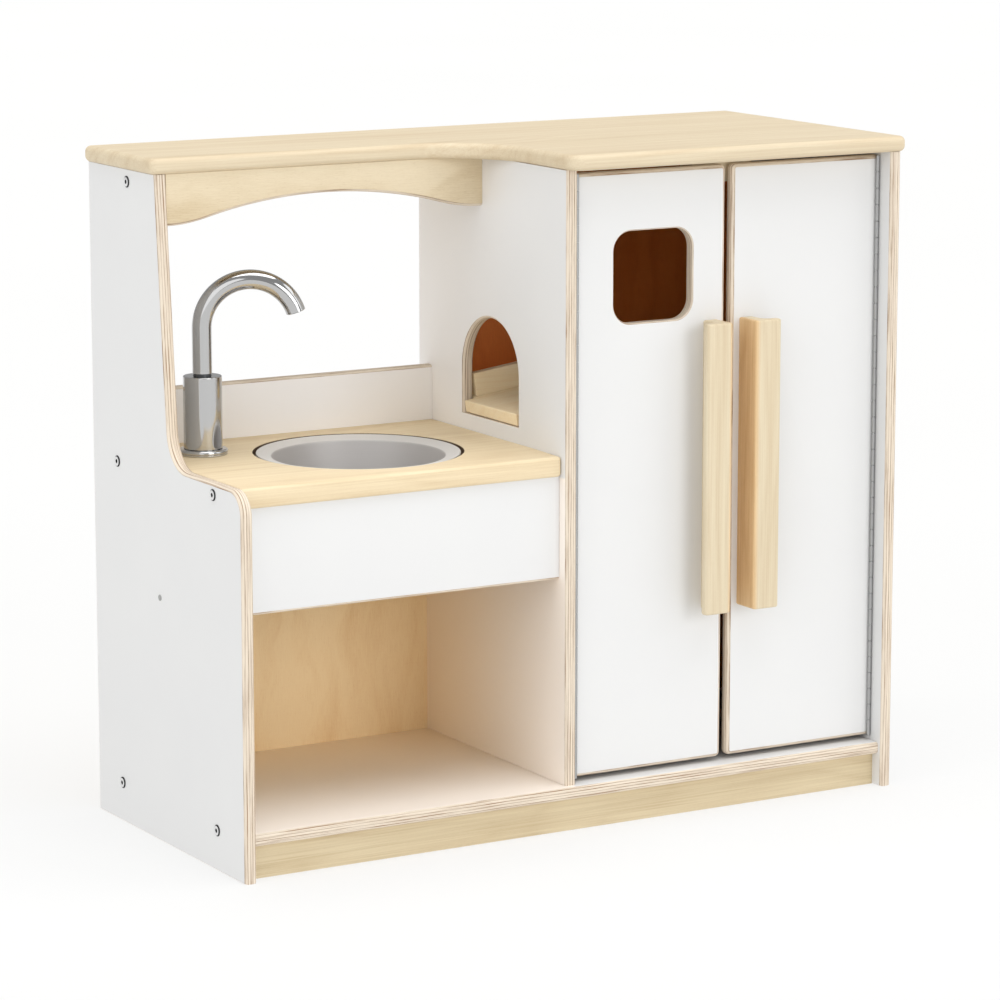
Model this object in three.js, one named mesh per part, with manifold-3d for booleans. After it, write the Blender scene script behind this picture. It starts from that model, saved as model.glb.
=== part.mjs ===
// Play kitchen for small children: an open sink bay on the left, a two-door cupboard on the right.
// Units are millimetres and +Z is up. The front faces -Y. The origin is on the floor, in the
// middle of the overall footprint. Pieces are drawn from the carcass's left front floor corner,
// with x to the right, y to the back and z up, and each one is moved to the origin as it is added.
import * as THREE from 'three';
import { mergeVertices } from 'three/addons/utils/BufferGeometryUtils.js';
import Module from 'manifold-3d';

const wasm = await Module();
wasm.setup();

// ---- Driving dimensions ----------------------------------------------------

const WIDTH = 900;            // outside of one side panel to outside of the other
const DEPTH = 396;            // side panels, front to back
const COUNTER_TOP = 453.5;    // floor to the top of the worktop
const NICHE_HEIGHT = 339;     // worktop to the underside of the top board
const UNDER_TOP = COUNTER_TOP + NICHE_HEIGHT;
const PLY = 15;               // laminated birch plywood
const EDGE = 3;               // rounding on plywood edges
const FIT = 0.3;              // gap where one piece sits inside another
const BAY_WIDTH = 421;        // clear width of the sink bay

const INNER_LEFT = PLY;
const INNER_RIGHT = WIDTH - PLY;
const DIVIDER_X = INNER_LEFT + BAY_WIDTH;
const CUPBOARD_LEFT = DIVIDER_X + PLY;
const CUPBOARD_WIDTH = INNER_RIGHT - CUPBOARD_LEFT;

const DIVIDER_FRONT = 16.5;
const DIVIDER_BACK = DEPTH - 22;
const BACK_FRONT = DEPTH - 42; // front face of both back panels

const DECK_TOP = 55.5;
const DECK_BOTTOM = DECK_TOP - PLY;
const DECK_FRONT = 7;
const KICK_FRONT = 18.5;

const TOP_THICK = 19;
const TOP_EDGE = 7;
const TOP_OVER_SIDE = 6;
const TOP_OVER_FRONT = 4;
const TOP_CORNER = TOP_EDGE + 1; // a corner is rounder than the edges that run into it
const TOP_STEP_RADIUS = 99;   // the inward sweep from the shallow part to the deep part
const TOP_NOSE_RADIUS = 20;

const COUNTER_THICK = 24;
const COUNTER_BOTTOM = COUNTER_TOP - COUNTER_THICK;
const COUNTER_FRONT = 26.5;
const COUNTER_BACK = BACK_FRONT + PLY;
const COUNTER_DEPTH = COUNTER_BACK - COUNTER_FRONT;
const COUNTER_EDGE = 4;

const NECK_FRONT = DEPTH - 183.5; // front edge of the left panel at its top
const NECK_LEAN = 23.5;       // how much further forward that edge is at its foot
const SHOULDER_Z = COUNTER_TOP + 1;
const SHOULDER_SWEEP = 46;
const SHOULDER_NOSE = 29;

const HOLE_FRONT_MARGIN = 33.565; // worktop left in front of the bowl's hole
const HOLE_BACK_MARGIN = 56.855;  // and behind it
const HOLE_RADIUS = (COUNTER_DEPTH - HOLE_FRONT_MARGIN - HOLE_BACK_MARGIN) / 2;
const HOLE_X = INNER_LEFT + 0.557 * BAY_WIDTH;
const HOLE_Y = COUNTER_FRONT + HOLE_FRONT_MARGIN + HOLE_RADIUS;
const LEDGE_RADIUS = HOLE_RADIUS - 14;
const LEDGE_DROP = 7;
const BOWL_RIM_RADIUS = HOLE_RADIUS - 4.2;
const BOWL_MOUTH_RADIUS = HOLE_RADIUS - 22.3;
const BOWL_DEPTH = 86;
const STEEL = 1.5;

const SPLASH_FRONT = BACK_FRONT - PLY;
const SPLASH_TOP = COUNTER_TOP + 68.5;
const APRON_FRONT = 32;
const APRON_BOTTOM = COUNTER_BOTTOM - 124.5;

const VALANCE_FRONT = NECK_FRONT + 1.5;
const VALANCE_FLAT_Z = UNDER_TOP - 60.5;
const VALANCE_CREST_Z = UNDER_TOP - 32.5;
const VALANCE_FLAT = 30;      // straight length at each end of the arch

const DOOR_FRONT = 27;
const DOOR_BACK = DOOR_FRONT + PLY;
const DOOR_GAP_Z = 5.5;
const DOOR_GAP_MIDDLE = 8.4;
const DOOR_CORNER = 5;
const DOOR_BOTTOM = DECK_TOP + DOOR_GAP_Z;
const DOOR_TOP = UNDER_TOP - DOOR_GAP_Z;

const LEAF = 0.8;             // piano hinge sheet
const LEAF_GAP = 0.2;
const HINGE_SPACE = 2 * LEAF + LEAF_GAP;
const KNUCKLE_RADIUS = 2.6;
const HINGE_PIN_RADIUS = 1.2;
const HINGE_PLAY = 0.2;
const HINGE_BORE_RADIUS = HINGE_PIN_RADIUS + HINGE_PLAY;
const KNUCKLES = 12;          // shared alternately by the two leaves
const HINGE_OUT = KNUCKLE_RADIUS + LEAF_GAP;          // pin's middle from the carcass face
const HINGE_Y = DOOR_FRONT - KNUCKLE_RADIUS - LEAF_GAP;

const DOOR_WIDTH = (CUPBOARD_WIDTH - 2 * HINGE_SPACE - DOOR_GAP_MIDDLE) / 2;
const LEFT_DOOR_X = CUPBOARD_LEFT + HINGE_SPACE;
const RIGHT_DOOR_X = INNER_RIGHT - HINGE_SPACE - DOOR_WIDTH;
const WINDOW_SIZE = 110;
const WINDOW_CORNER = 24;
const WINDOW_OFFSET = 3.7;    // from the door's middle towards its free edge
const WINDOW_Z = DOOR_TOP - 127;

const HANDLE_LENGTH = 353;
const HANDLE_BOTTOM = 249;
const HANDLE_WIDTH = 36;
const HANDLE_REACH = 38.5;
const HANDLE_FRONT = DOOR_FRONT - HANDLE_REACH;
const HANDLE_STEM = 18;
const HANDLE_LIP = 12.5;
const HANDLE_INSET = 12.5;    // from the door's free edge to the handle's solid side
const HANDLE_EDGE = 4;
const HANDLE_FILLET = 8;

const ARCH_MIDDLE = DEPTH / 2 - 2;
const ARCH_FRONT = ARCH_MIDDLE - 65.5;
const ARCH_BACK = ARCH_MIDDLE + 65.5;
const ARCH_SILL = COUNTER_TOP + 19.5;
const ARCH_CREST = ARCH_SILL + 124;

const CHUTE_SLOPE = 7.3 * Math.PI / 180;
const CHUTE_THICK = 15;
const CHUTE_MOUTH_Z = ARCH_SILL + CHUTE_THICK + 0.5;  // top of the chute at the divider
const CHUTE_TONGUE = ARCH_BACK - ARCH_FRONT - 7;      // width of the part in the arch
const CHUTE_RUN = CUPBOARD_WIDTH / 2 - 1;             // length along the slope
const CHUTE_FRONT = 56;
const CHUTE_RAIL = 29;
const CHUTE_RAIL_THICK = 12;

const SHELF_TOP = 300;
const SHELF_FRONT = 56;

const FAUCET_X = INNER_LEFT + 64.5;
const FAUCET_Y = COUNTER_BACK - 112;
const FLANGE_RADIUS = 29.5;
const FLANGE_HEIGHT = 7.5;
const BODY_RADIUS = 23;
const BODY_TOP = 94;          // above the counter
const COLLAR_RADIUS = 10.5;
const COLLAR_TOP = BODY_TOP + 3;
const SPOUT_RADIUS = 11.7;
const SPOUT_STRAIGHT = 150;   // where the bend starts, above the counter
const SPOUT_BEND = 57;
const SPOUT_SWEEP = 162 * Math.PI / 180;
const SPOUT_TURN = Math.atan2(HOLE_Y - FAUCET_Y, HOLE_X - FAUCET_X);
const STUD_RADIUS = 5;
const AERATOR_RADIUS = 8.4;

const BOLT_INSET = 71;
const BOLT_HEAD_RADIUS = 6.8;
const BOLT_HEAD = 1.6;
const BOLT_RADIUS = 3;
const BOLT_LENGTH = 46;
const BOLT_ROWS = [BOLT_INSET, DEPTH - BOLT_INSET + 1];
const DECK_BOLT_Z = DECK_TOP - PLY / 2;
const COUNTER_BOLT_Z = COUNTER_TOP - COUNTER_THICK / 2;
const SHELF_BOLT_Z = SHELF_TOP - PLY / 2;
const RAIL_Y = DEPTH - 108.7; // middle of the rails under the top board
const RAIL_DEPTH = 28;
const RAIL_HEIGHT = 29;
const RAIL_FRONT = RAIL_Y - RAIL_DEPTH / 2;
const RAIL_Z = UNDER_TOP - RAIL_HEIGHT / 2;
const PLUG_Y = DEPTH - 181.5;
const PLUG_Z = 296;
const PLUG_RADIUS = 2.6;

// ---- Materials -------------------------------------------------------------

function paint(hex, roughness, metalness) {
  return new THREE.MeshStandardMaterial({ color: hex, roughness, metalness });
}

const LAMINATE = paint(0xf1f0ed, 0.4, 0);
const BIRCH = paint(0xe6d2a8, 0.5, 0);
const BIRCH_PLY = paint(0xdcc193, 0.55, 0);
const CHROME = paint(0xc8cbd0, 0.12, 1);
const BRUSHED = paint(0xb4b4b2, 0.35, 1);
const ZINC = paint(0xd2d3d4, 0.3, 1);
const MAGNET = paint(0x4a4c50, 0.4, 1);
const PLASTIC = paint(0x9a9a98, 0.5, 0);

// ---- Outlines --------------------------------------------------------------

const ARC_STEP = Math.PI / 14;

function arcPoints(cx, cy, radius, from, to) {
  const count = Math.max(1, Math.ceil(Math.abs(to - from) / ARC_STEP));
  const points = [];
  for (let i = 0; i <= count; i++) {
    const angle = from + (to - from) * i / count;
    points.push(new THREE.Vector2(cx + radius * Math.cos(angle), cy + radius * Math.sin(angle)));
  }
  return points;
}

// One corner of a polygon, replaced by an arc that is tangent to both of its sides.
function cornerPoints(before, corner, after, radius) {
  if (!radius) return [corner];
  const toBefore = before.clone().sub(corner).normalize();
  const toAfter = after.clone().sub(corner).normalize();
  const half = Math.acos(THREE.MathUtils.clamp(toBefore.dot(toAfter), -1, 1)) / 2;
  const middle = toBefore.clone().add(toAfter).normalize();
  const centre = corner.clone().addScaledVector(middle, radius / Math.sin(half));
  const start = corner.clone().addScaledVector(toBefore, radius / Math.tan(half)).sub(centre);
  const end = corner.clone().addScaledVector(toAfter, radius / Math.tan(half)).sub(centre);
  let turn = end.angle() - start.angle();
  if (turn > Math.PI) turn -= 2 * Math.PI;
  if (turn < -Math.PI) turn += 2 * Math.PI;
  return arcPoints(centre.x, centre.y, radius, start.angle(), start.angle() + turn);
}

// corners is a list of [x, y, radius].
function outline(corners) {
  const at = corners.map(([x, y]) => new THREE.Vector2(x, y));
  const points = [];
  corners.forEach(([, , radius], i) => {
    const before = at[(i + at.length - 1) % at.length];
    const after = at[(i + 1) % at.length];
    points.push(...cornerPoints(before, at[i], after, radius || 0));
  });
  return points.filter((p, i) => p.distanceTo(points[(i + 1) % points.length]) > 0.01);
}

function rectangle(x0, y0, x1, y1, radius = 0) {
  return outline([[x0, y0, radius], [x1, y0, radius], [x1, y1, radius], [x0, y1, radius]]);
}

// ---- Solids ----------------------------------------------------------------

// A plate of the given outline with rounded edges. Its outline is the plate's full size.
function plate(points, thickness, edge = 0, holes = []) {
  const shape = new THREE.Shape(points);
  for (const hole of holes) shape.holes.push(new THREE.Path(hole));
  const geometry = new THREE.ExtrudeGeometry(shape, {
    depth: thickness - 2 * edge,
    bevelEnabled: edge > 0,
    bevelThickness: edge,
    bevelSize: edge,
    bevelOffset: -edge,
    bevelSegments: edge > 5 ? 4 : 3,
  });
  return geometry.translate(0, 0, edge);
}

const AXIS_X = new THREE.Vector3(1, 0, 0);
const AXIS_Y = new THREE.Vector3(0, 1, 0);
const AXIS_Z = new THREE.Vector3(0, 0, 1);

// Turns a plate drawn in y and z so that its thickness runs to +x from xLeft.
function sideways(geometry, xLeft) {
  geometry.applyMatrix4(new THREE.Matrix4().makeBasis(AXIS_Y, AXIS_Z, AXIS_X));
  return geometry.translate(xLeft, 0, 0);
}

// Turns a plate drawn in x and z so that it faces the front, with its front face at yFront.
function facing(geometry, yFront, thickness) {
  const back = AXIS_Y.clone().negate();
  geometry.applyMatrix4(new THREE.Matrix4().makeBasis(AXIS_X, AXIS_Z, back));
  return geometry.translate(0, yFront + thickness, 0);
}

function box(x0, y0, z0, x1, y1, z1) {
  const geometry = new THREE.BoxGeometry(x1 - x0, y1 - y0, z1 - z0);
  return geometry.translate((x0 + x1) / 2, (y0 + y1) / 2, (z0 + z1) / 2);
}

// A rod along x (default), or along z, from the given start point.
function rodX(radius, length, x, y, z, sides = 20) {
  const geometry = new THREE.CylinderGeometry(radius, radius, length, sides);
  return geometry.rotateZ(Math.PI / 2).translate(x + length / 2, y, z);
}

function rodZ(radius, length, x, y, z, sides = 20) {
  const geometry = new THREE.CylinderGeometry(radius, radius, length, sides);
  return geometry.rotateX(Math.PI / 2).translate(x, y, z + length / 2);
}

// A turned solid about a vertical axis, from a profile of [radius, height] pairs.
function turned(profile, sides, x, y, z) {
  const points = profile.map(([radius, height]) => new THREE.Vector2(radius, height));
  const geometry = new THREE.LatheGeometry(points, sides);
  return geometry.rotateX(Math.PI / 2).translate(x, y, z);
}

function solid(geometry) {
  if (!geometry.isBufferGeometry) return geometry;
  const bare = geometry.clone();
  bare.deleteAttribute('normal');
  bare.deleteAttribute('uv');
  const merged = mergeVertices(bare, 1e-4);
  const mesh = new wasm.Mesh({
    numProp: 3,
    vertProperties: new Float32Array(merged.attributes.position.array),
    triVerts: new Uint32Array(merged.index.array),
  });
  return new wasm.Manifold(mesh);
}

function join(first, ...others) {
  return others.reduce((sum, other) => sum.add(solid(other)), solid(first));
}

function cut(first, ...others) {
  return others.reduce((rest, other) => rest.subtract(solid(other)), solid(first));
}

function surface(shape) {
  if (shape.isBufferGeometry) return shape;
  const mesh = shape.getMesh();
  const geometry = new THREE.BufferGeometry();
  geometry.setAttribute('position', new THREE.BufferAttribute(mesh.vertProperties, 3));
  geometry.setIndex(new THREE.BufferAttribute(mesh.triVerts, 1));
  const faceted = geometry.toNonIndexed();
  faceted.computeVertexNormals();
  return faceted;
}

const kitchen = new THREE.Group();
kitchen.name = 'play_kitchen';

function add(name, shape, material) {
  const geometry = surface(shape).clone();
  geometry.translate(-WIDTH / 2, -(HANDLE_FRONT + DEPTH) / 2, 0);
  const mesh = new THREE.Mesh(geometry, material);
  mesh.name = name;
  kitchen.add(mesh);
}

// ---- Side panels and their bolts ------------------------------------------

// Bolts through the left panel: two into the deck, two into the counter, one into the top rail.
const LEFT_BOLTS = [
  ['left_bolt_deck_front', BOLT_ROWS[0], DECK_BOLT_Z],
  ['left_bolt_deck_back', BOLT_ROWS[1], DECK_BOLT_Z],
  ['left_bolt_counter_front', BOLT_ROWS[0], COUNTER_BOLT_Z],
  ['left_bolt_counter_back', BOLT_ROWS[1], COUNTER_BOLT_Z],
  ['left_bolt_top_rail', RAIL_Y, RAIL_Z],
];

const RIGHT_BOLTS = [
  ['right_bolt_deck_front', BOLT_ROWS[0], DECK_BOLT_Z],
  ['right_bolt_deck_back', BOLT_ROWS[1], DECK_BOLT_Z],
  ['right_bolt_shelf_front', BOLT_ROWS[0] + SHELF_FRONT, SHELF_BOLT_Z],
  ['right_bolt_shelf_back', BOLT_ROWS[1] - PLY, SHELF_BOLT_Z],
  ['right_bolt_top_rail', RAIL_Y, RAIL_Z],
];

// Clearance holes for every bolt of one side, running through the panel into the board ends.
function boltHoles(bolts, xStart) {
  const radius = BOLT_RADIUS + FIT;
  return bolts.map(([, y, z]) => rodX(radius, BOLT_LENGTH + 2 * FIT, xStart, y, z));
}

const leftHoles = boltHoles(LEFT_BOLTS, -FIT);
const rightHoles = boltHoles(RIGHT_BOLTS, WIDTH + FIT - BOLT_LENGTH - 2 * FIT);

// A flat bolt head with a hexagon socket on a plain shank. side is -1 on the left, 1 on the right.
function bolt(y, z, side) {
  const face = side < 0 ? 0 : WIDTH;
  const headStart = side < 0 ? -BOLT_HEAD : WIDTH;
  const shankStart = side < 0 ? 0 : WIDTH - BOLT_LENGTH;
  const socketStart = side < 0 ? -BOLT_HEAD - 1 : WIDTH + BOLT_HEAD - 1.2;
  const head = rodX(BOLT_HEAD_RADIUS, BOLT_HEAD, headStart, y, z, 28);
  const shank = rodX(BOLT_RADIUS, BOLT_LENGTH, shankStart, y, z);
  const socket = rodX(2.6, 2.2, socketStart, y, z, 6);
  const overlap = rodX(BOLT_RADIUS, 1, face - 0.5, y, z);
  return cut(join(head, shank, overlap), socket);
}

function plug() {
  const head = rodX(PLUG_RADIUS + 1, 0.8, -0.8, PLUG_Y, PLUG_Z);
  const stem = rodX(PLUG_RADIUS, 9, -0.4, PLUG_Y, PLUG_Z);
  return join(head, stem);
}

function leftPanelOutline() {
  return outline([
    [0, 0, 0],
    [DEPTH, 0, 0],
    [DEPTH, UNDER_TOP, 0],
    [NECK_FRONT, UNDER_TOP, 0],
    [NECK_FRONT - NECK_LEAN - 4, SHOULDER_Z, SHOULDER_SWEEP],
    [0, SHOULDER_Z, SHOULDER_NOSE],
  ]);
}

function buildSides() {
  const plugHole = rodX(PLUG_RADIUS + FIT, 10, -1, PLUG_Y, PLUG_Z);
  const left = sideways(plate(leftPanelOutline(), PLY, EDGE), 0);
  add('left_side_panel', cut(left, ...leftHoles, plugHole), LAMINATE);
  const right = sideways(plate(rectangle(0, 0, DEPTH, UNDER_TOP), PLY, EDGE), INNER_RIGHT);
  add('right_side_panel', cut(right, ...rightHoles), LAMINATE);
  for (const [name, y, z] of LEFT_BOLTS) add(name, bolt(y, z, -1), ZINC);
  for (const [name, y, z] of RIGHT_BOLTS) add(name, bolt(y, z, 1), ZINC);
  add('left_side_plug', plug(), PLASTIC);
}

// ---- Divider, deck, kick boards and rails ---------------------------------

function buildDivider() {
  const radius = (ARCH_BACK - ARCH_FRONT) / 2 - 0.01;
  const arch = outline([
    [ARCH_FRONT, ARCH_SILL, 0],
    [ARCH_BACK, ARCH_SILL, 0],
    [ARCH_BACK, ARCH_CREST, radius],
    [ARCH_FRONT, ARCH_CREST, radius],
  ]);
  const outer = rectangle(DIVIDER_FRONT, DECK_TOP, DIVIDER_BACK, UNDER_TOP);
  add('divider_panel', sideways(plate(outer, PLY, EDGE, [arch]), DIVIDER_X), LAMINATE);
}

function buildFloor() {
  const deck = plate(rectangle(INNER_LEFT, DECK_FRONT, INNER_RIGHT, DIVIDER_BACK), PLY, EDGE);
  deck.translate(0, 0, DECK_BOTTOM);
  add('deck_board', cut(deck, ...leftHoles, ...rightHoles), LAMINATE);
  const kick = rectangle(INNER_LEFT, 0, INNER_RIGHT, DECK_BOTTOM);
  add('front_kick_board', facing(plate(kick, PLY), KICK_FRONT, PLY), BIRCH);
  add('back_kick_board', facing(plate(kick, PLY), DIVIDER_BACK - PLY, PLY), BIRCH_PLY);
}

function topRail(xStart, xEnd) {
  return box(xStart, RAIL_FRONT, UNDER_TOP - RAIL_HEIGHT, xEnd, RAIL_FRONT + RAIL_DEPTH, UNDER_TOP);
}

function buildRails() {
  add('sink_top_rail', cut(topRail(INNER_LEFT, DIVIDER_X), ...leftHoles), BIRCH);
  add('cupboard_top_rail', cut(topRail(CUPBOARD_LEFT, INNER_RIGHT), ...rightHoles), BIRCH);
}

function buildBacks() {
  const bay = rectangle(INNER_LEFT, DECK_TOP, DIVIDER_X, COUNTER_BOTTOM);
  add('sink_back_panel', facing(plate(bay, PLY), BACK_FRONT, PLY), BIRCH_PLY);
  const cupboard = rectangle(CUPBOARD_LEFT, DECK_TOP, INNER_RIGHT, UNDER_TOP);
  add('cupboard_back_panel', facing(plate(cupboard, PLY), BACK_FRONT, PLY), BIRCH_PLY);
}

// ---- Top board and valance -------------------------------------------------

function buildTop() {
  const left = -TOP_OVER_SIDE;
  const right = WIDTH + TOP_OVER_SIDE;
  const shallow = NECK_FRONT - TOP_OVER_FRONT;
  const step = DIVIDER_X - TOP_OVER_FRONT;
  const points = outline([
    [step, -TOP_OVER_FRONT, TOP_NOSE_RADIUS],
    [right, -TOP_OVER_FRONT, TOP_CORNER],
    [right, DEPTH, TOP_CORNER],
    [left, DEPTH, TOP_CORNER],
    [left, shallow, TOP_CORNER],
    [step, shallow, TOP_STEP_RADIUS],
  ]);
  add('top_board', plate(points, TOP_THICK, TOP_EDGE).translate(0, 0, UNDER_TOP), BIRCH);
}

// The arch is one circle that passes through the inner ends of the flats and the crest.
function valanceOutline() {
  const rise = VALANCE_CREST_Z - VALANCE_FLAT_Z;
  const halfSpan = BAY_WIDTH / 2 - VALANCE_FLAT;
  const radius = (halfSpan * halfSpan + rise * rise) / (2 * rise);
  const middle = INNER_LEFT + BAY_WIDTH / 2;
  const half = Math.asin(halfSpan / radius);
  const points = [];
  const count = 24;
  for (let i = 0; i <= count; i++) {
    const angle = Math.PI / 2 + half - 2 * half * i / count;
    const x = middle + radius * Math.cos(angle);
    const z = VALANCE_CREST_Z - radius + radius * Math.sin(angle);
    points.push(new THREE.Vector2(x, z));
  }
  return [
    new THREE.Vector2(INNER_LEFT, UNDER_TOP),
    new THREE.Vector2(INNER_LEFT, VALANCE_FLAT_Z),
    ...points,
    new THREE.Vector2(DIVIDER_X, VALANCE_FLAT_Z),
    new THREE.Vector2(DIVIDER_X, UNDER_TOP),
  ];
}

function buildValance() {
  add('arched_valance', facing(plate(valanceOutline(), PLY, EDGE), VALANCE_FRONT, PLY), BIRCH);
}

// ---- Sink bay --------------------------------------------------------------

function buildCounter() {
  const points = rectangle(INNER_LEFT, COUNTER_FRONT, DIVIDER_X, COUNTER_BACK);
  const board = plate(points, COUNTER_THICK, COUNTER_EDGE).translate(0, 0, COUNTER_BOTTOM);
  const ledge = rodZ(HOLE_RADIUS, 2 * LEDGE_DROP, HOLE_X, HOLE_Y, COUNTER_TOP - LEDGE_DROP, 64);
  const hole = rodZ(LEDGE_RADIUS, 2 * COUNTER_THICK, HOLE_X, HOLE_Y, COUNTER_BOTTOM - 5, 64);
  const studHole = rodZ(STUD_RADIUS + 2, 2 * COUNTER_THICK, FAUCET_X, FAUCET_Y, COUNTER_BOTTOM - 5);
  add('sink_counter', cut(board, ledge, hole, studHole, ...leftHoles), BIRCH);
  const splash = rectangle(INNER_LEFT, COUNTER_TOP, DIVIDER_X, SPLASH_TOP);
  add('backsplash', facing(plate(splash, PLY, EDGE), SPLASH_FRONT, PLY), LAMINATE);
  const apron = rectangle(INNER_LEFT, APRON_BOTTOM, DIVIDER_X, COUNTER_BOTTOM);
  add('sink_apron', facing(plate(apron, PLY, EDGE), APRON_FRONT, PLY), LAMINATE);
}

// The bowl's rim slopes inwards and hooks over a skirt that stands on the counter's ledge.
function buildBowl() {
  const skirt = FIT - LEDGE_DROP;
  const rim = BOWL_RIM_RADIUS;
  const mouth = BOWL_MOUTH_RADIUS;
  const floor = -BOWL_DEPTH;
  const profile = [
    [0, floor],
    [mouth - 48, floor],
    [mouth - 32, floor + 4],
    [mouth - 19, floor + 14],
    [mouth - 10, floor + 32],
    [mouth - 4, floor + 56],
    [mouth, -5],
    [mouth + 2, -4],
    [rim - 1.4, -0.9],
    [rim - 0.4, -1.2],
    [rim, -2],
    [rim, skirt],
    [rim - STEEL, skirt],
    [rim - STEEL, -2.8],
    [mouth + 3.2, -5.7],
    [mouth + 1.4, -7],
    [mouth - 4 + STEEL, floor + 55.6],
    [mouth - 10 + STEEL, floor + 31.4],
    [mouth - 17.9, floor + 12.9],
    [mouth - 31.4, floor + 2.6],
    [mouth - 48, floor - STEEL],
    [0, floor - STEEL],
  ];
  add('sink_bowl', turned(profile.reverse(), 56, HOLE_X, HOLE_Y, COUNTER_TOP), BRUSHED);
}

// ---- Faucet ----------------------------------------------------------------

function spoutPath() {
  const points = [];
  const straightSteps = 4;
  const bendSteps = 22;
  for (let i = 0; i < straightSteps; i++) {
    points.push([0, COLLAR_TOP + (SPOUT_STRAIGHT - COLLAR_TOP) * i / straightSteps]);
  }
  for (let i = 0; i <= bendSteps; i++) {
    const angle = SPOUT_SWEEP * i / bendSteps;
    const out = SPOUT_BEND * (1 - Math.cos(angle));
    points.push([out, SPOUT_STRAIGHT + SPOUT_BEND * Math.sin(angle)]);
  }
  return points.map(([out, up]) => new THREE.Vector3(
    FAUCET_X + out * Math.cos(SPOUT_TURN),
    FAUCET_Y + out * Math.sin(SPOUT_TURN),
    COUNTER_TOP + up,
  ));
}

// A rod of the given length that starts at a point and runs against the flow direction.
function plunge(radius, length, start, direction, sides = 24) {
  const geometry = new THREE.CylinderGeometry(radius, radius, length, sides);
  geometry.translate(0, length / 2, 0);
  const turn = new THREE.Quaternion().setFromUnitVectors(AXIS_Y, direction.clone().negate());
  return geometry.applyQuaternion(turn).translate(start.x, start.y, start.z);
}

function buildSpout() {
  const path = spoutPath();
  const curve = new THREE.CatmullRomCurve3(path, false, 'centripetal');
  const section = new THREE.Shape(arcPoints(0, 0, SPOUT_RADIUS, 0, 2 * Math.PI).slice(0, -1));
  const tube = new THREE.ExtrudeGeometry(section, { steps: 34, extrudePath: curve });
  const mouth = path[path.length - 1];
  const flow = curve.getTangent(1).normalize();
  const outside = mouth.clone().addScaledVector(flow, 2);
  add('faucet_spout', cut(tube, plunge(AERATOR_RADIUS + FIT, 14, outside, flow)), CHROME);
  const inside = mouth.clone().addScaledVector(flow, -3);
  add('faucet_aerator', plunge(AERATOR_RADIUS, 5, inside, flow), PLASTIC);
}

function buildFaucet() {
  const flange = [
    [STUD_RADIUS + FIT, 0],
    [FLANGE_RADIUS, 0],
    [FLANGE_RADIUS, FLANGE_HEIGHT - 3],
    [FLANGE_RADIUS - 0.9, FLANGE_HEIGHT - 0.9],
    [FLANGE_RADIUS - 3, FLANGE_HEIGHT],
    [STUD_RADIUS + FIT, FLANGE_HEIGHT],
    [STUD_RADIUS + FIT, 0],
  ];
  add('faucet_flange', turned(flange, 40, FAUCET_X, FAUCET_Y, COUNTER_TOP), CHROME);
  const body = [
    [0, -COUNTER_THICK - 14],
    [STUD_RADIUS, -COUNTER_THICK - 14],
    [STUD_RADIUS, FLANGE_HEIGHT],
    [BODY_RADIUS, FLANGE_HEIGHT],
    [BODY_RADIUS, BODY_TOP - 1],
    [BODY_RADIUS - 1, BODY_TOP],
    [COLLAR_RADIUS, BODY_TOP],
    [COLLAR_RADIUS, COLLAR_TOP],
    [0, COLLAR_TOP],
  ];
  add('faucet_body', turned(body, 40, FAUCET_X, FAUCET_Y, COUNTER_TOP), CHROME);
  const nut = rodZ(14, 7, FAUCET_X, FAUCET_Y, COUNTER_BOTTOM - 7, 6);
  const nutBore = rodZ(STUD_RADIUS + FIT, 9, FAUCET_X, FAUCET_Y, COUNTER_BOTTOM - 8);
  add('faucet_nut', cut(nut, nutBore), ZINC);
}

// ---- Doors, handles and hinges --------------------------------------------

function windowOutline() {
  const middle = LEFT_DOOR_X + DOOR_WIDTH / 2 + WINDOW_OFFSET;
  const half = WINDOW_SIZE / 2;
  return rectangle(middle - half, WINDOW_Z - half, middle + half, WINDOW_Z + half, WINDOW_CORNER);
}

function doorPlate(xLeft, holes) {
  const points = rectangle(xLeft, DOOR_BOTTOM, xLeft + DOOR_WIDTH, DOOR_TOP, DOOR_CORNER);
  return facing(plate(points, PLY, EDGE, holes), DOOR_FRONT, PLY);
}

// The pull's section: a stem on the door and a lip to one side, with a finger groove behind the
// lip. away is 1 when the lip points to +x and -1 when it points to -x.
function handle(xSolidSide, away) {
  const at = (out) => xSolidSide + away * out;
  const corners = [
    [at(0), DOOR_FRONT, 0],
    [at(0), HANDLE_FRONT, HANDLE_EDGE],
    [at(HANDLE_WIDTH), HANDLE_FRONT, HANDLE_EDGE],
    [at(HANDLE_WIDTH), HANDLE_FRONT + HANDLE_LIP, HANDLE_EDGE],
    [at(HANDLE_STEM), HANDLE_FRONT + HANDLE_LIP, HANDLE_FILLET],
    [at(HANDLE_STEM), DOOR_FRONT, 0],
  ];
  const points = outline(away > 0 ? corners : corners.reverse());
  return plate(points, HANDLE_LENGTH, 2).translate(0, 0, HANDLE_BOTTOM);
}

// Height limits of the alternate knuckles: the frame's leaf takes the even ones.
function knuckleSpans(first) {
  const pitch = (DOOR_TOP - DOOR_BOTTOM) / KNUCKLES;
  const spans = [];
  for (let i = first; i < KNUCKLES; i += 2) {
    spans.push([DOOR_BOTTOM + i * pitch + FIT, DOOR_BOTTOM + (i + 1) * pitch - FIT]);
  }
  return spans;
}

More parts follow.
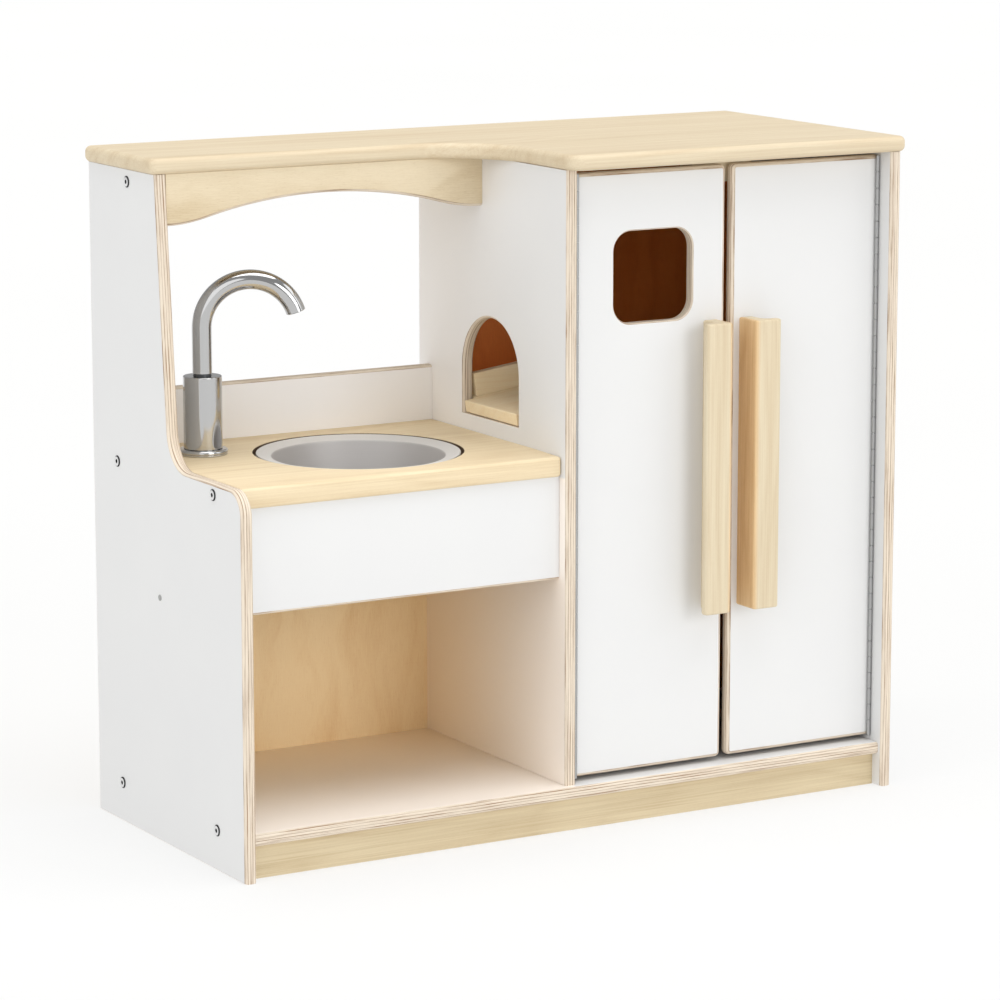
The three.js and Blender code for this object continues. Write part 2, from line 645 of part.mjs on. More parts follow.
// One leaf: a strip behind the knuckles, with a tongue to each knuckle it owns. xFace is where
// the leaf lies, away points from it to the other leaf, axisX is the pin's place.
function hingeLeaf(xFace, axisX, away, first) {
  const near = Math.min(xFace, xFace + away * LEAF);
  const far = near + LEAF;
  const clear = HINGE_Y + KNUCKLE_RADIUS + FIT;
  const shapes = [box(near, clear, DOOR_BOTTOM + 1, far, DOOR_BACK - 1, DOOR_TOP - 1)];
  const bores = [];
  for (const [low, high] of knuckleSpans(first)) {
    shapes.push(rodZ(KNUCKLE_RADIUS, high - low, axisX, HINGE_Y, low, 16));
    shapes.push(box(near, HINGE_Y + 1.1, low, far, clear + 1, high));
    bores.push(rodZ(HINGE_BORE_RADIUS, high - low + 2, axisX, HINGE_Y, low - 1, 12));
  }
  return cut(join(...shapes), ...bores);
}

function buildHinge(side, carcassFace, away) {
  const axisX = carcassFace + away * HINGE_OUT;
  const doorFace = carcassFace + away * HINGE_SPACE;
  add(`${side}_hinge_frame_leaf`, hingeLeaf(carcassFace, axisX, away, 0), BRUSHED);
  add(`${side}_hinge_door_leaf`, hingeLeaf(doorFace, axisX, -away, 1), BRUSHED);
  const length = DOOR_TOP - DOOR_BOTTOM;
  add(`${side}_hinge_pin`, rodZ(HINGE_PIN_RADIUS, length, axisX, HINGE_Y, DOOR_BOTTOM, 12), ZINC);
}

function buildDoors() {
  add('left_door', doorPlate(LEFT_DOOR_X, [windowOutline()]), LAMINATE);
  add('right_door', doorPlate(RIGHT_DOOR_X, []), LAMINATE);
  add('left_handle', handle(LEFT_DOOR_X + DOOR_WIDTH - HANDLE_INSET, -1), BIRCH);
  add('right_handle', handle(RIGHT_DOOR_X + HANDLE_INSET, 1), BIRCH);
  buildHinge('left', CUPBOARD_LEFT, 1);
  buildHinge('right', INNER_RIGHT, -1);
}

// A block under the top board stops both doors; a magnet in it holds each door's strike plate.
function buildCatch() {
  const middle = (LEFT_DOOR_X + RIGHT_DOOR_X + DOOR_WIDTH) / 2;
  const blockFront = DOOR_BACK + 1.5;
  const reach = 42;
  const magnetX = [middle - 26, middle + 26];
  const z = UNDER_TOP - 16;
  const magnetAt = (x, radius, length, y) => rodZ(radius, length, 0, 0, 0)
    .rotateX(-Math.PI / 2).translate(x, y, z);
  const block = box(middle - reach, blockFront, UNDER_TOP - 28, middle + reach, 70, UNDER_TOP);
  const pockets = magnetX.map((x) => magnetAt(x, 6 + FIT, 10, blockFront - 1));
  add('catch_block', cut(block, ...pockets), BIRCH);
  add('left_catch_magnet', magnetAt(magnetX[0], 6, 8, blockFront + 0.5), MAGNET);
  add('right_catch_magnet', magnetAt(magnetX[1], 6, 8, blockFront + 0.5), MAGNET);
  add('left_strike_plate', magnetAt(magnetX[0], 8, 1.2, DOOR_BACK), ZINC);
  add('right_strike_plate', magnetAt(magnetX[1], 8, 1.2, DOOR_BACK), ZINC);
}

// ---- Cupboard shelf and chute ----------------------------------------------

function buildShelf() {
  const points = rectangle(CUPBOARD_LEFT, SHELF_FRONT, INNER_RIGHT, BACK_FRONT);
  const board = plate(points, PLY, EDGE).translate(0, 0, SHELF_TOP - PLY);
  add('cupboard_shelf', cut(board, ...rightHoles), BIRCH_PLY);
}

// Tips a piece drawn flat, with its top at height 0, up to the chute's slope about the mouth.
function onSlope(geometry) {
  return geometry.rotateY(-CHUTE_SLOPE).translate(DIVIDER_X, 0, CHUTE_MOUTH_Z);
}

// x is measured from the divider's left face, along the slope. The tongue lies in the arch.
function buildChute() {
  const inside = PLY + 1;
  const back = BACK_FRONT - FIT;
  const floor = outline([
    [0.5, ARCH_MIDDLE - CHUTE_TONGUE / 2, 0],
    [inside, ARCH_MIDDLE - CHUTE_TONGUE / 2, 0],
    [inside, CHUTE_FRONT, 0],
    [CHUTE_RUN, CHUTE_FRONT, 0],
    [CHUTE_RUN, back, 0],
    [inside, back, 0],
    [inside, ARCH_MIDDLE + CHUTE_TONGUE / 2, 0],
    [0.5, ARCH_MIDDLE + CHUTE_TONGUE / 2, 0],
  ]);
  const board = plate(floor, CHUTE_THICK, 1.5).translate(0, 0, -CHUTE_THICK);
  add('chute_floor', onSlope(board), BIRCH);
  const railStart = inside + CHUTE_RAIL * Math.tan(CHUTE_SLOPE);
  const railBack = ARCH_BACK + CHUTE_RAIL_THICK;
  const backRail = box(railStart, ARCH_BACK, FIT, CHUTE_RUN, railBack, CHUTE_RAIL);
  add('chute_back_rail', onSlope(backRail), BIRCH);
  const guide = outline([
    [railStart, ARCH_FRONT - CHUTE_RAIL_THICK, 0],
    [CHUTE_RUN, CHUTE_FRONT + 1, 0],
    [CHUTE_RUN, CHUTE_FRONT + 1 + CHUTE_RAIL_THICK, 0],
    [railStart, ARCH_FRONT, 0],
  ]);
  const frontGuide = plate(guide, CHUTE_RAIL - FIT).translate(0, 0, FIT);
  add('chute_front_guide', onSlope(frontGuide), BIRCH);
}

buildSides();
buildDivider();
buildFloor();
buildRails();
buildBacks();
buildTop();
buildValance();
buildCounter();
buildBowl();
buildFaucet();
buildSpout();
buildDoors();
buildCatch();
buildShelf();
buildChute();

export default kitchen;
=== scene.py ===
import math

import bmesh
import bpy
import numpy as np
from mathutils.geometry import tessellate_polygon
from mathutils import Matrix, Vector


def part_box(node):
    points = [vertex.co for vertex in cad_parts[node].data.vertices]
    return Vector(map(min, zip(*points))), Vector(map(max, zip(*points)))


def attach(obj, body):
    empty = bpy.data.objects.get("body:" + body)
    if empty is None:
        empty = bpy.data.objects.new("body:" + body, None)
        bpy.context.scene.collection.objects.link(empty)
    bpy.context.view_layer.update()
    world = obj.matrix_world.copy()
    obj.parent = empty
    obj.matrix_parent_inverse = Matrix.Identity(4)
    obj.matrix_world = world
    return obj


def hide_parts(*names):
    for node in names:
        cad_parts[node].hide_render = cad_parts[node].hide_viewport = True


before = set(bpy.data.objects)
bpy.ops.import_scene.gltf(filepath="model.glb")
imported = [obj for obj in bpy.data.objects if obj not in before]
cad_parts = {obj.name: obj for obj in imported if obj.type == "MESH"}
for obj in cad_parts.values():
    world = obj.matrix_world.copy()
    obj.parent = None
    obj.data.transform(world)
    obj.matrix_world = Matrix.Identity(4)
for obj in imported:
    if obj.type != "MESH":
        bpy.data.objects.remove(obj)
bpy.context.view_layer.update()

mm = 0.001
scene = bpy.context.scene

# ---- The room --------------------------------------------------------------------------------
# The kitchen stands on a lit white studio floor that runs out of sight. Five large softboxes
# light it from the front, both sides and above, and the camera looks from the left.

CAMERA_PLACE = (-2.4773, -4.2461, 1.2958)
CAMERA_DOWN = math.radians(10.6255)
CAMERA_RIGHT = math.radians(30.2394)
CAMERA_LENS = 147.86
FLOOR_REACH = 70.0


def display(red, green, blue):
    """Linear colour of a shade given in display values from 0 to 255."""
    shade = np.array([red, green, blue]) / 255
    linear = np.where(shade <= 0.04045, shade / 12.92, ((shade + 0.055) / 1.055) ** 2.4)
    return (*(float(v) for v in linear), 1.0)


class Wire:
    """One output of a shader node. Arithmetic on it adds Math nodes to the same material."""

    def __init__(self, finish, socket):
        self.finish = finish
        self.socket = socket

    def math(self, operation, *values):
        return self.finish.node("Math", dict(enumerate(values)), operation=operation)

    def __add__(self, other):
        return self.math("ADD", self, other)

    def __sub__(self, other):
        return self.math("SUBTRACT", self, other)

    def __rsub__(self, other):
        return self.math("SUBTRACT", other, self)

    def __mul__(self, other):
        return self.math("MULTIPLY", self, other)

    def __truediv__(self, other):
        return self.math("DIVIDE", self, other)

    def __pow__(self, other):
        return self.math("POWER", self, other)

    def __mod__(self, other):
        return self.math("FLOORED_MODULO", self, other)

    def __abs__(self):
        return self.math("ABSOLUTE", self)

    __radd__ = __add__
    __rmul__ = __mul__

    def most(self, other):
        return self.math("MAXIMUM", self, other)

    def above(self, other):
        return self.math("GREATER_THAN", self, other)

    def ramp(self, low, high):
        """0 below low, 1 above high and a smooth rise between them."""
        ends = {"Value": self, "From Min": low, "From Max": high}
        return self.finish.node("MapRange", ends, interpolation_type="SMOOTHSTEP")


class Finish:
    """A procedural material. constants go on the shader's own sockets."""

    def __init__(self, name, constants):
        self.material = bpy.data.materials.new(name)
        self.material.use_nodes = True
        self.tree = self.material.node_tree
        self.shader = self.tree.nodes["Principled BSDF"]
        for socket, value in constants.items():
            self.give(socket, value)
        self.place = self.node("TexCoord", out="Object")

    def colour(self):
        """What Base Color is fed by so far."""
        return Wire(self, self.shader.inputs["Base Color"].links[0].from_socket)

    def give(self, socket, value):
        self.feed(self.shader.inputs[socket], value)

    def feed(self, socket, value):
        if isinstance(value, Wire):
            self.tree.links.new(value.socket, socket)
        else:
            socket.default_value = value

    def node(self, kind, inputs=(), out=0, **settings):
        """Adds a node of the kind, sets it up, fills its sockets and returns one output."""
        made = self.tree.nodes.new("ShaderNode" + kind)
        for key, value in settings.items():
            setattr(made, key, value)
        for key, value in dict(inputs).items():
            self.feed(made.inputs[key], value)
        return Wire(self, made.outputs[out])

    def axes(self):
        """The object coordinates x, y and z, in millimetres."""
        apart = self.node("SeparateXYZ", {0: self.place})
        outputs = apart.socket.node.outputs
        return [Wire(self, outputs[i]) * 1000 for i in range(3)]

    def vector(self, x, y, z):
        return self.node("CombineXYZ", {0: x, 1: y, 2: z})

    def noise(self, vector, scale=1.0, detail=2.0, rough=0.5, twist=0.0):
        inputs = {"Vector": vector, "Scale": scale, "Detail": detail, "Roughness": rough}
        return self.node("TexNoise", {**inputs, "Distortion": twist}, out="Fac")

    def blend(self, factor, first, second):
        inputs = {0: factor, 6: first, 7: second}
        return self.node("Mix", inputs, out=2, data_type="RGBA")

    def bump(self, height, distance):
        """Relief: height is in units of distance, which is in metres."""
        normal = self.node("Bump", {"Height": height, "Distance": distance, "Strength": 1.0})
        self.give("Normal", normal)


FLOOR_GLOW = 0.66
floor_finish = Finish("studio_floor", {
    "Roughness": 0.9, "Specular IOR Level": 0.1, "Emission Strength": FLOOR_GLOW,
})
cloud = floor_finish.noise(floor_finish.place, 0.6, 2.0)
floor_grey = floor_finish.blend(cloud, display(136, 136, 135), display(140, 140, 139))
floor_finish.give("Base Color", floor_grey)
floor_finish.give("Emission Color", floor_finish.blend(cloud, (1, 1, 0.995, 1), (1, 1, 1, 1)))

floor_mesh = bpy.data.meshes.new("studio_floor")
floor_corners = [(-FLOOR_REACH, -FLOOR_REACH, 0), (FLOOR_REACH, -FLOOR_REACH, 0),
                 (FLOOR_REACH, FLOOR_REACH, 0), (-FLOOR_REACH, FLOOR_REACH, 0)]
floor_mesh.from_pydata(floor_corners, [], [(0, 1, 2, 3)])
floor_mesh.materials.append(floor_finish.material)
floor = bpy.data.objects.new("studio_floor", floor_mesh)
scene.collection.objects.link(floor)

camera = bpy.data.objects.new("camera", bpy.data.cameras.new("camera"))
camera.data.lens = CAMERA_LENS
camera.data.sensor_width = 36
camera.data.clip_end = 300
camera.location = CAMERA_PLACE
camera.rotation_euler = (math.pi / 2 - CAMERA_DOWN, 0, -CAMERA_RIGHT)
scene.collection.objects.link(camera)
scene.camera = camera
scene.view_settings.view_transform = "Standard"

SKY_STRENGTH = 0.42
sky = bpy.data.worlds.new("studio_sky")
sky.use_nodes = True
sky.node_tree.nodes["Background"].inputs["Color"].default_value = (1.0, 1.0, 1.0, 1.0)
sky.node_tree.nodes["Background"].inputs["Strength"].default_value = SKY_STRENGTH
scene.world = sky


def soft_lamp(name, toward, spread, share):
    """A distant round softbox. toward points at it, spread is the angle it fills, and share is
    its light on a surface that faces it, where 1 makes a white surface white."""
    lamp = bpy.data.objects.new(name, bpy.data.lights.new(name, "SUN"))
    lamp.data.angle = math.radians(spread)
    lamp.data.energy = share * math.pi
    lamp.rotation_euler = (math.atan2(math.hypot(toward[0], toward[1]), toward[2]), 0,
                           math.atan2(toward[0], -toward[1]))
    scene.collection.objects.link(lamp)


soft_lamp("key_softbox", (0.20, -0.93, 0.24), 28, 0.22)
soft_lamp("fill_softbox", (-0.66, -0.68, 0.24), 44, 0.14)
soft_lamp("left_softbox", (-0.90, -0.05, 0.42), 44, 0.215)
soft_lamp("right_softbox", (0.80, -0.42, 0.38), 44, 0.18)
soft_lamp("top_softbox", (0.05, -0.08, 1.0), 60, 0.64)

# ---- Side panels -------------------------------------------------------------------------------
# Two upright panels of 15 mm birch plywood, faced with white satin laminate on both sides. Their
# edges are rounded over with a router, so the plies show. Bolts through them hold the boards.

PLY_STEP = 1.66            # thickness of one veneer, in mm
SKIN = 0.22                # thickness of the laminate, in mm
ROUND = 4.4 * mm           # rounding of an edge that shows
BUTT = 0.3 * mm            # an edge that stands against a neighbour is only eased
CORNER_STEP = math.radians(6)


def outline(corners):
    """Closed outline through corners (a, b, radius, rounding): each corner becomes an arc of its
    radius, tangent to both sides. rounding belongs to the side that leaves the corner."""
    at = np.array([corner[:2] for corner in corners], float)
    points, edges = [], []
    for i, (_, _, radius, edge) in enumerate(corners):
        if radius == 0:
            points.append(at[i][None])
            edges.append([edge])
            continue
        back = at[i - 1] - at[i]
        ahead = at[(i + 1) % len(at)] - at[i]
        back /= np.linalg.norm(back)
        ahead /= np.linalg.norm(ahead)
        half = math.acos(np.clip(back @ ahead, -1, 1)) / 2
        middle = (back + ahead) / np.linalg.norm(back + ahead)
        centre = at[i] + middle * radius / math.sin(half)
        start = at[i] + back * radius / math.tan(half) - centre
        end = at[i] + ahead * radius / math.tan(half) - centre
        first = math.atan2(start[1], start[0])
        turn = (math.atan2(end[1], end[0]) - first + math.pi) % (2 * math.pi) - math.pi
        count = max(2, math.ceil(abs(turn) / CORNER_STEP))
        angle = first + turn * np.linspace(0, 1, count + 1)
        points.append(centre + radius * np.stack([np.cos(angle), np.sin(angle)], 1))
        edges.append([max(edge, corners[i - 1][3])] * count + [edge])
    points, edges = np.vstack(points), np.concatenate(edges)
    apart = np.linalg.norm(np.roll(points, -1, 0) - points, axis=1) > 1e-6
    return points[apart], edges[apart]


def inset(points, distance):
    """The closed outline with each side moved inwards by its own distance: a corner goes where
    its two moved sides cross, and where they are in line it goes straight in."""
    side = np.roll(points, -1, 0) - points
    side /= np.linalg.norm(side, axis=1, keepdims=True)
    p, q = side[:, 1], -side[:, 0]
    r, s, before = np.roll(p, 1), np.roll(q, 1), np.roll(distance, 1)
    cross = r * q - s * p
    flat = np.abs(cross) < 1e-3
    safe = np.where(flat, 1, cross)
    dx = np.where(flat, -p * distance, (-before * q + distance * s) / safe)
    dy = np.where(flat, -q * distance, (-distance * r + before * p) / safe)
    return points + np.stack([dx, dy], 1)


def board_wall(shape, low, high, steps):
    """The wall of a board, ring by ring from one face to the other: at angle phi from 0 to 90
    degrees a side with rounding R is inset by R(1 - sin phi) at depth R(1 - cos phi)."""
    points, edges = shape
    deep = np.maximum(edges, np.roll(edges, 1))
    phi = np.linspace(0, math.pi / 2, steps + 1)
    rings = np.stack([inset(points, edges * (1 - math.sin(a))) for a in phi])
    depth = (1 - np.cos(phi))[:, None] * deep
    rings = np.concatenate([rings, rings[::-1]])
    height = np.concatenate([low + depth, high - depth[::-1]])
    return rings, height


def ring_faces(rings, count, start=0):
    """Four-sided faces between neighbouring closed rings of count points each."""
    k, i = np.meshgrid(np.arange(rings - 1), np.arange(count), indexing="ij")
    j = (i + 1) % count
    corners = [k * count + i, k * count + j, (k + 1) * count + j, (k + 1) * count + i]
    return (np.stack(corners, -1).reshape(-1, 4) + start).tolist()


def cap_faces(loops):
    """Triangles that fill the outline loops[0] around the holes in the rest, facing up."""
    lines = [[(a, b, 0.0) for a, b in loop] for loop in loops]
    flat = np.vstack(loops)
    tri = np.array(tessellate_polygon(lines))
    first, second, third = flat[tri[:, 0]], flat[tri[:, 1]], flat[tri[:, 2]]
    u, v = second - first, third - first
    down = u[:, 0] * v[:, 1] - u[:, 1] * v[:, 0] < 0
    tri[down] = tri[down][:, ::-1]
    return tri


def add_piece(name, points, faces, flat_faces=0, sharp=30):
    """A mesh object at the origin. The last flat_faces faces are shaded flat."""
    mesh = bpy.data.meshes.new(name)
    mesh.from_pydata(np.asarray(points).tolist(), [], faces)
    smooth = np.ones(len(faces), bool)
    smooth[len(faces) - flat_faces:] = False
    mesh.polygons.foreach_set("use_smooth", smooth)
    mesh.set_sharp_from_angle(angle=math.radians(sharp))
    piece = bpy.data.objects.new(name, mesh)
    scene.collection.objects.link(piece)
    return piece


AXIS_ORDER = {"x": (2, 0, 1), "y": (0, 2, 1), "z": (0, 1, 2)}


def board(name, shape, low, high, axis, hole=None, steps=7, move=(0, 0, 0)):
    """A flat board with rounded edges: the outline's wall, the hole's wall and a cap on each
    face. The outline runs anticlockwise in the two axes that are not the thickness axis."""
    walls = [shape]
    if hole is not None:
        walls.append((hole[0][::-1], np.roll(hole[1][::-1], -1)))
    points, faces, bottoms, tops, start = [], [], [], [], 0
    for wall in walls:
        rings, height = board_wall(wall, low, high, steps)
        count = rings.shape[1]
        points.append(np.concatenate([rings, height[:, :, None]], 2).reshape(-1, 3))
        faces += ring_faces(len(rings), count, start)
        bottoms.append((rings[0], start))
        tops.append((rings[-1], start + (len(rings) - 1) * count))
        start += len(rings) * count
    caps = []
    for loops, up in ((bottoms, False), (tops, True)):
        index = np.concatenate([first + np.arange(len(loop)) for loop, first in loops])
        tri = index[cap_faces([loop for loop, _ in loops])]
        caps += (tri if up else tri[:, ::-1]).tolist()
    points = np.vstack(points)[:, AXIS_ORDER[axis]] + np.array(move)
    faces += caps
    if axis == "y":
        faces = [face[::-1] for face in faces]
    return add_piece(name, points, faces, len(caps))


def fit(piece, finish, slot, body, *nodes):
    """Gives a piece its finish, fixes it to a body and hides what it stands for. The slot is not
    used.
    """
    piece.data.materials.append(finish.material)
    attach(piece, body)
    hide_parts(*nodes)
    return piece


PALE_VENEER = (234, 214, 180), (206, 178, 136)


def laminated_ply(name, axis, low, high, low_face="white", high_face="white", seed=0.0,
                  veneer=PALE_VENEER, grain_along="z", painted_light=None):
    """Birch plywood between two faces. t is the depth through the board: plies alternate light and
    dark along it, glue lines part them, and a noise drawn out along the edge makes them streaky.
    Within SKIN of a face the laminate or the face veneer takes over. The last argument, if given,
    paints light into the white of the laminate where it is: a warmer, brighter white that stands in
    for bounce light and fill in shaded places."""
    finish = Finish(name, {"IOR": 1.48, "Specular IOR Level": 0.3})
    place = finish.axes()
    through = "xyz".index(axis)
    t = place[through] - low / mm
    thick = (high - low) / mm
    others = [place[i] for i in range(3) if i != through]
    drift = finish.noise(finish.vector(others[0], others[1], seed), 0.010, 2.0)
    wavy = t + (drift - 0.5) * 0.9
    ply = abs(wavy / PLY_STEP % 2 - 1)
    dark_ply = ply.ramp(0.35, 0.65)
    glue = abs(wavy / PLY_STEP % 1 - 0.5).ramp(0.32, 0.46)
    run = finish.vector(t * 0.9, others[0] * 0.012, others[1] * 0.012 + seed)
    streak = finish.noise(run, 1.0, 4.0, 0.68)
    fleck = finish.noise(finish.vector(t * 3.0, others[0] * 0.16, others[1] * 0.16), 1.0, 3.0)
    tone = dark_ply * 0.26 + glue * 0.24 + streak.ramp(0.42, 0.70) * 0.52 + fleck * 0.14
    edge = finish.blend(tone.ramp(0.10, 1.0), display(232, 220, 202), display(146, 112, 82))
    mottle = finish.noise(finish.place, 9.0, 3.0)
    white = finish.blend(mottle, display(224, 224, 224), display(228, 228, 227))
    # Painted light: the white is made warmer and brighter where the piece stands in shade.
    if painted_light:
        white = painted_light(finish, white, *place)
    grain = veneer_tone(finish, place, grain_along, seed)
    wood = finish.blend(grain, display(*veneer[0]), display(*veneer[1]))
    near_low = 1 - t.above(SKIN)
    near_high = t.above(thick - SKIN)
    look = {"white": white, "veneer": wood}
    colour = finish.blend(near_low, edge, look[low_face])
    finish.give("Base Color", finish.blend(near_high, colour, look[high_face]))
    skin = near_low.most(near_high)
    ripple = finish.noise(finish.place, 700.0, 2.0)
    finish.give("Roughness", 0.62 - skin * 0.22 + (ripple - 0.5) * 0.06)
    finish.bump(skin * ripple * 0.10 + (1 - skin) * (streak * 0.9 + fleck * 0.5), 0.06 * mm)
    return finish


def veneer_tone(finish, place, along, seed):
    """Flame figure of rotary-cut birch: broad bands that follow the grain, bent by slow noise,
    with fine fibres and short pores on top. 0 is light and 1 is dark."""
    run = place["xyz".index(along)]
    across = sum((axis for axis in place if axis is not run), 0)
    warp = finish.noise(finish.vector(across * 0.010, run * 0.006, seed), 1.0, 2.0)
    bent = finish.vector(across * 0.020 + warp * 2.6, run * 0.0030, seed + 3)
    band = finish.noise(bent, 1.0, 3.0, 0.55)
    fibre = finish.noise(finish.vector(across * 1.3, run * 0.045, seed), 1.0, 3.0, 0.6)
    pore = finish.noise(finish.vector(across * 3.0, run * 0.20, seed + 7), 1.0, 1.0)
    tone = band.ramp(0.30, 0.72) * 0.40 + fibre * 0.56 + pore.ramp(0.54, 0.74) * 0.20
    return tone.ramp(0.16, 1.0)


low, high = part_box("left_side_panel")
SHOULDER_HEIGHT = 454.5 * mm
NECK_TOP = 212.5 * mm
NECK_FOOT = 185 * mm
SHOULDER_SWEEP = 46 * mm
SHOULDER_NOSE = 29 * mm
FOOT_EASE = 1.5 * mm
left_outline = outline([
    (low.y, low.z, 0, FOOT_EASE),
    (high.y, low.z, 0, ROUND),
    (high.y, high.z, 0, BUTT),
    (low.y + NECK_TOP, high.z, 0, ROUND),
    (low.y + NECK_FOOT, SHOULDER_HEIGHT, SHOULDER_SWEEP, ROUND),
    (low.y, SHOULDER_HEIGHT, SHOULDER_NOSE, ROUND),
])
left_panel = board("left_panel_ply", left_outline, low.x, high.x, "x")
left_ply = laminated_ply("left_panel_laminate", "x", low.x, high.x, seed=1.7)
fit(left_panel, left_ply, "white_laminated_ply", "carcass", "left_side_panel")

low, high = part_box("right_side_panel")
right_outline = outline([
    (low.y, low.z, 0, FOOT_EASE),
    (high.y, low.z, 0, ROUND),
    (high.y, high.z, 0, BUTT),
    (low.y, high.z, 0, ROUND),
])
right_panel = board("right_panel_ply", right_outline, low.x, high.x, "x")
right_ply = laminated_ply("right_panel_laminate", "x", low.x, high.x, seed=4.1)
fit(right_panel, right_ply, "white_laminated_ply", "carcass", "right_side_panel")

# ---- Divider -----------------------------------------------------------------------------------
# An upright panel of the same laminated plywood between the sink bay and the cupboard. Toys come
# out of its arched hole, whose rim is rounded over like the edges.

low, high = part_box("divider_panel")
ARCH_FORWARD = 2 * mm
side_low, side_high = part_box("left_side_panel")
arch_middle = (side_low.y + side_high.y) / 2 - ARCH_FORWARD
arch_half = 65.5 * mm
ARCH_SILL = 473 * mm
ARCH_CREST = 597 * mm
divider_outline = outline([
    (low.y, low.z, 0, BUTT),
    (high.y, low.z, 0, ROUND),
    (high.y, high.z, 0, BUTT),
    (low.y, high.z, 0, ROUND),
])
arch_outline = outline([
    (arch_middle - arch_half, ARCH_SILL, 0, BUTT),
    (arch_middle + arch_half, ARCH_SILL, 0, ROUND),
    (arch_middle + arch_half, ARCH_CREST, arch_half * 0.999, ROUND),
    (arch_middle - arch_half, ARCH_CREST, arch_half * 0.999, ROUND),
])
divider = board("divider_ply", divider_outline, low.x, high.x, "x", hole=arch_outline)


def bay_painted_bounce(finish, white, x, y, z):
    """Painted bounce light: inside the bay the laminate's white is made warmer, more so towards the
    birch panel at its back, for the warm light that panel throws.
    """
    painted_light = finish.blend(y.ramp(-190, 190), display(252, 243, 233), display(254, 234, 206))
    return finish.blend((1 - z.ramp(426, 430)) * (1 - x.ramp(-6, -2)), white, painted_light)


def divider_painted_light(finish, white, x, y, z):
    """Below the worktop the bay's painted bounce light, and above it a white painted brighter
    towards the rear, painted light where the left panel shades the divider.
    """
    niche_painted_light = z.ramp(452, 456) * (1 - x.ramp(-6, -2)) * y.ramp(-90, 150)
    return finish.blend(niche_painted_light, bay_painted_bounce(finish, white, x, y, z), display(252, 249, 246))


# The divider's white carries painted light on its bay side and above the worktop.
divider_ply = laminated_ply("divider_laminate", "x", low.x, high.x, seed=7.3, painted_light=divider_painted_light)
fit(divider, divider_ply, "white_laminated_ply", "carcass", "divider_panel")

# ---- Deck and kick boards ----------------------------------------------------------------------
# The deck is one white laminated board from side to side, with its front edge rounded. It rests
# on a birch kick board set back at the front and on another at the rear.


def straight_board(name, node, axis, front, back, left=BUTT, right=BUTT, corner=0.0):
    """A rectangular board the size of its node. front and back are the first and last of its
    four sides in outline order: the sides at low b, high a, high b and low a."""
    low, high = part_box(node)
    a, b = {"x": (1, 2), "y": (0, 2), "z": (0, 1)}[axis]
    through = "xyz".index(axis)
    shape = outline([
        (low[a], low[b], corner, front),
        (high[a], low[b], corner, right),
        (high[a], high[b], corner, back),
        (low[a], high[b], corner, left),
    ])
    return board(name, shape, low[through], high[through], axis)


deck = straight_board("deck_ply", "deck_board", "z", ROUND, ROUND)
low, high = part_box("deck_board")
# The deck's top inside the bay carries the same painted bounce light.
deck_ply = laminated_ply("deck_laminate", "z", low.z, high.z, low_face="veneer", seed=2.9,
                         grain_along="x", painted_light=bay_painted_bounce)
fit(deck, deck_ply, "white_laminated_ply", "carcass", "deck_board")


def birch(name, along, seed=0.0, light=(232, 219, 192), dark=(214, 194, 160), gap_shade=None):
    """Solid birch under clear satin lacquer: slow bands that follow the grain axis, growth lines
    drawn by a warped wave across it, fine fibres and short dark pores. The last argument, if given,
    gives for x, y and z how far a darker, warmer brown is painted in: painted shade and warm bounce
    light where two birch faces look at each other."""
    finish = Finish(name, {"IOR": 1.5})
    place = finish.axes()
    run = "xyz".index(along)
    long = place[run]
    cross = [place[i] for i in range(3) if i != run]
    slow = finish.vector(long * 0.0016, cross[0] * 0.006, cross[1] * 0.006 + seed)
    warp = finish.noise(slow, 1.0, 2.0)
    bent = finish.vector(
        long * 0.0022, cross[0] * 0.045 + warp * 2.0, cross[1] * 0.045 + seed)
    band = finish.noise(bent, 1.0, 3.0, 0.6)
    ring = abs((cross[0] * 0.8 + cross[1] * 0.5 + warp * 150 + band * 6) / 7 % 2 - 1)
    drawn = finish.vector(long * 0.007, cross[0] * 0.6, cross[1] * 0.6 + seed)
    fibre = finish.noise(drawn, 1.0, 3.0, 0.6)
    pore = finish.noise(
        finish.vector(long * 0.20, cross[0] * 1.6, cross[1] * 1.6 + seed), 1.0, 2.0)
    tone = band * 0.42 + ring * ring * 0.08 + fibre * 0.50 + pore * 0.14
    colour = finish.blend(tone.ramp(0.30, 0.90), display(*light), display(*dark))
    if gap_shade:
        # Painted shade with warm bounce light: a darker, warmer brown.
        gap_shade_colour = finish.blend(tone.ramp(0.36, 0.80), display(234, 204, 158), display(208, 172, 124))
        colour = finish.blend(gap_shade(*place), colour, gap_shade_colour)
    finish.give("Base Color", colour)
    finish.give("Roughness", 0.5 + fibre * 0.12 + pore * 0.04)
    finish.bump(fibre * 0.6 - pore.ramp(0.6, 0.8) * 0.5, 0.04 * mm)
    return finish


def finish_node(node, finish):
    """Gives a carried-over solid a finish in place of its plain one."""
    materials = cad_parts[node].data.materials
    materials.clear()
    materials.append(finish.material)


kick_birch = birch("kick_board_birch", "x", seed=11.0, light=(220, 204, 170), dark=(186, 164, 126))
finish_node("front_kick_board", kick_birch)


def birch_veneer(name, seed, light=(238, 216, 176), dark=(212, 180, 134), along="z"):
    """Lacquered birch plywood face: the upright flame figure with a fibre relief."""
    finish = Finish(name, {"Roughness": 0.5, "IOR": 1.48})
    tone = veneer_tone(finish, finish.axes(), along, seed)
    finish.give("Base Color", finish.blend(tone, display(*light), display(*dark)))
    finish.bump(tone, 0.05 * mm)
    return finish


finish_node("back_kick_board", birch_veneer("back_kick_veneer", 5.0))

# ---- Top board ---------------------------------------------------------------------------------
# One solid birch board over the whole kitchen. It is deep over the cupboard, sweeps back in a
# quarter circle over the sink bay, and has a broad round on every edge. Screwed from below.

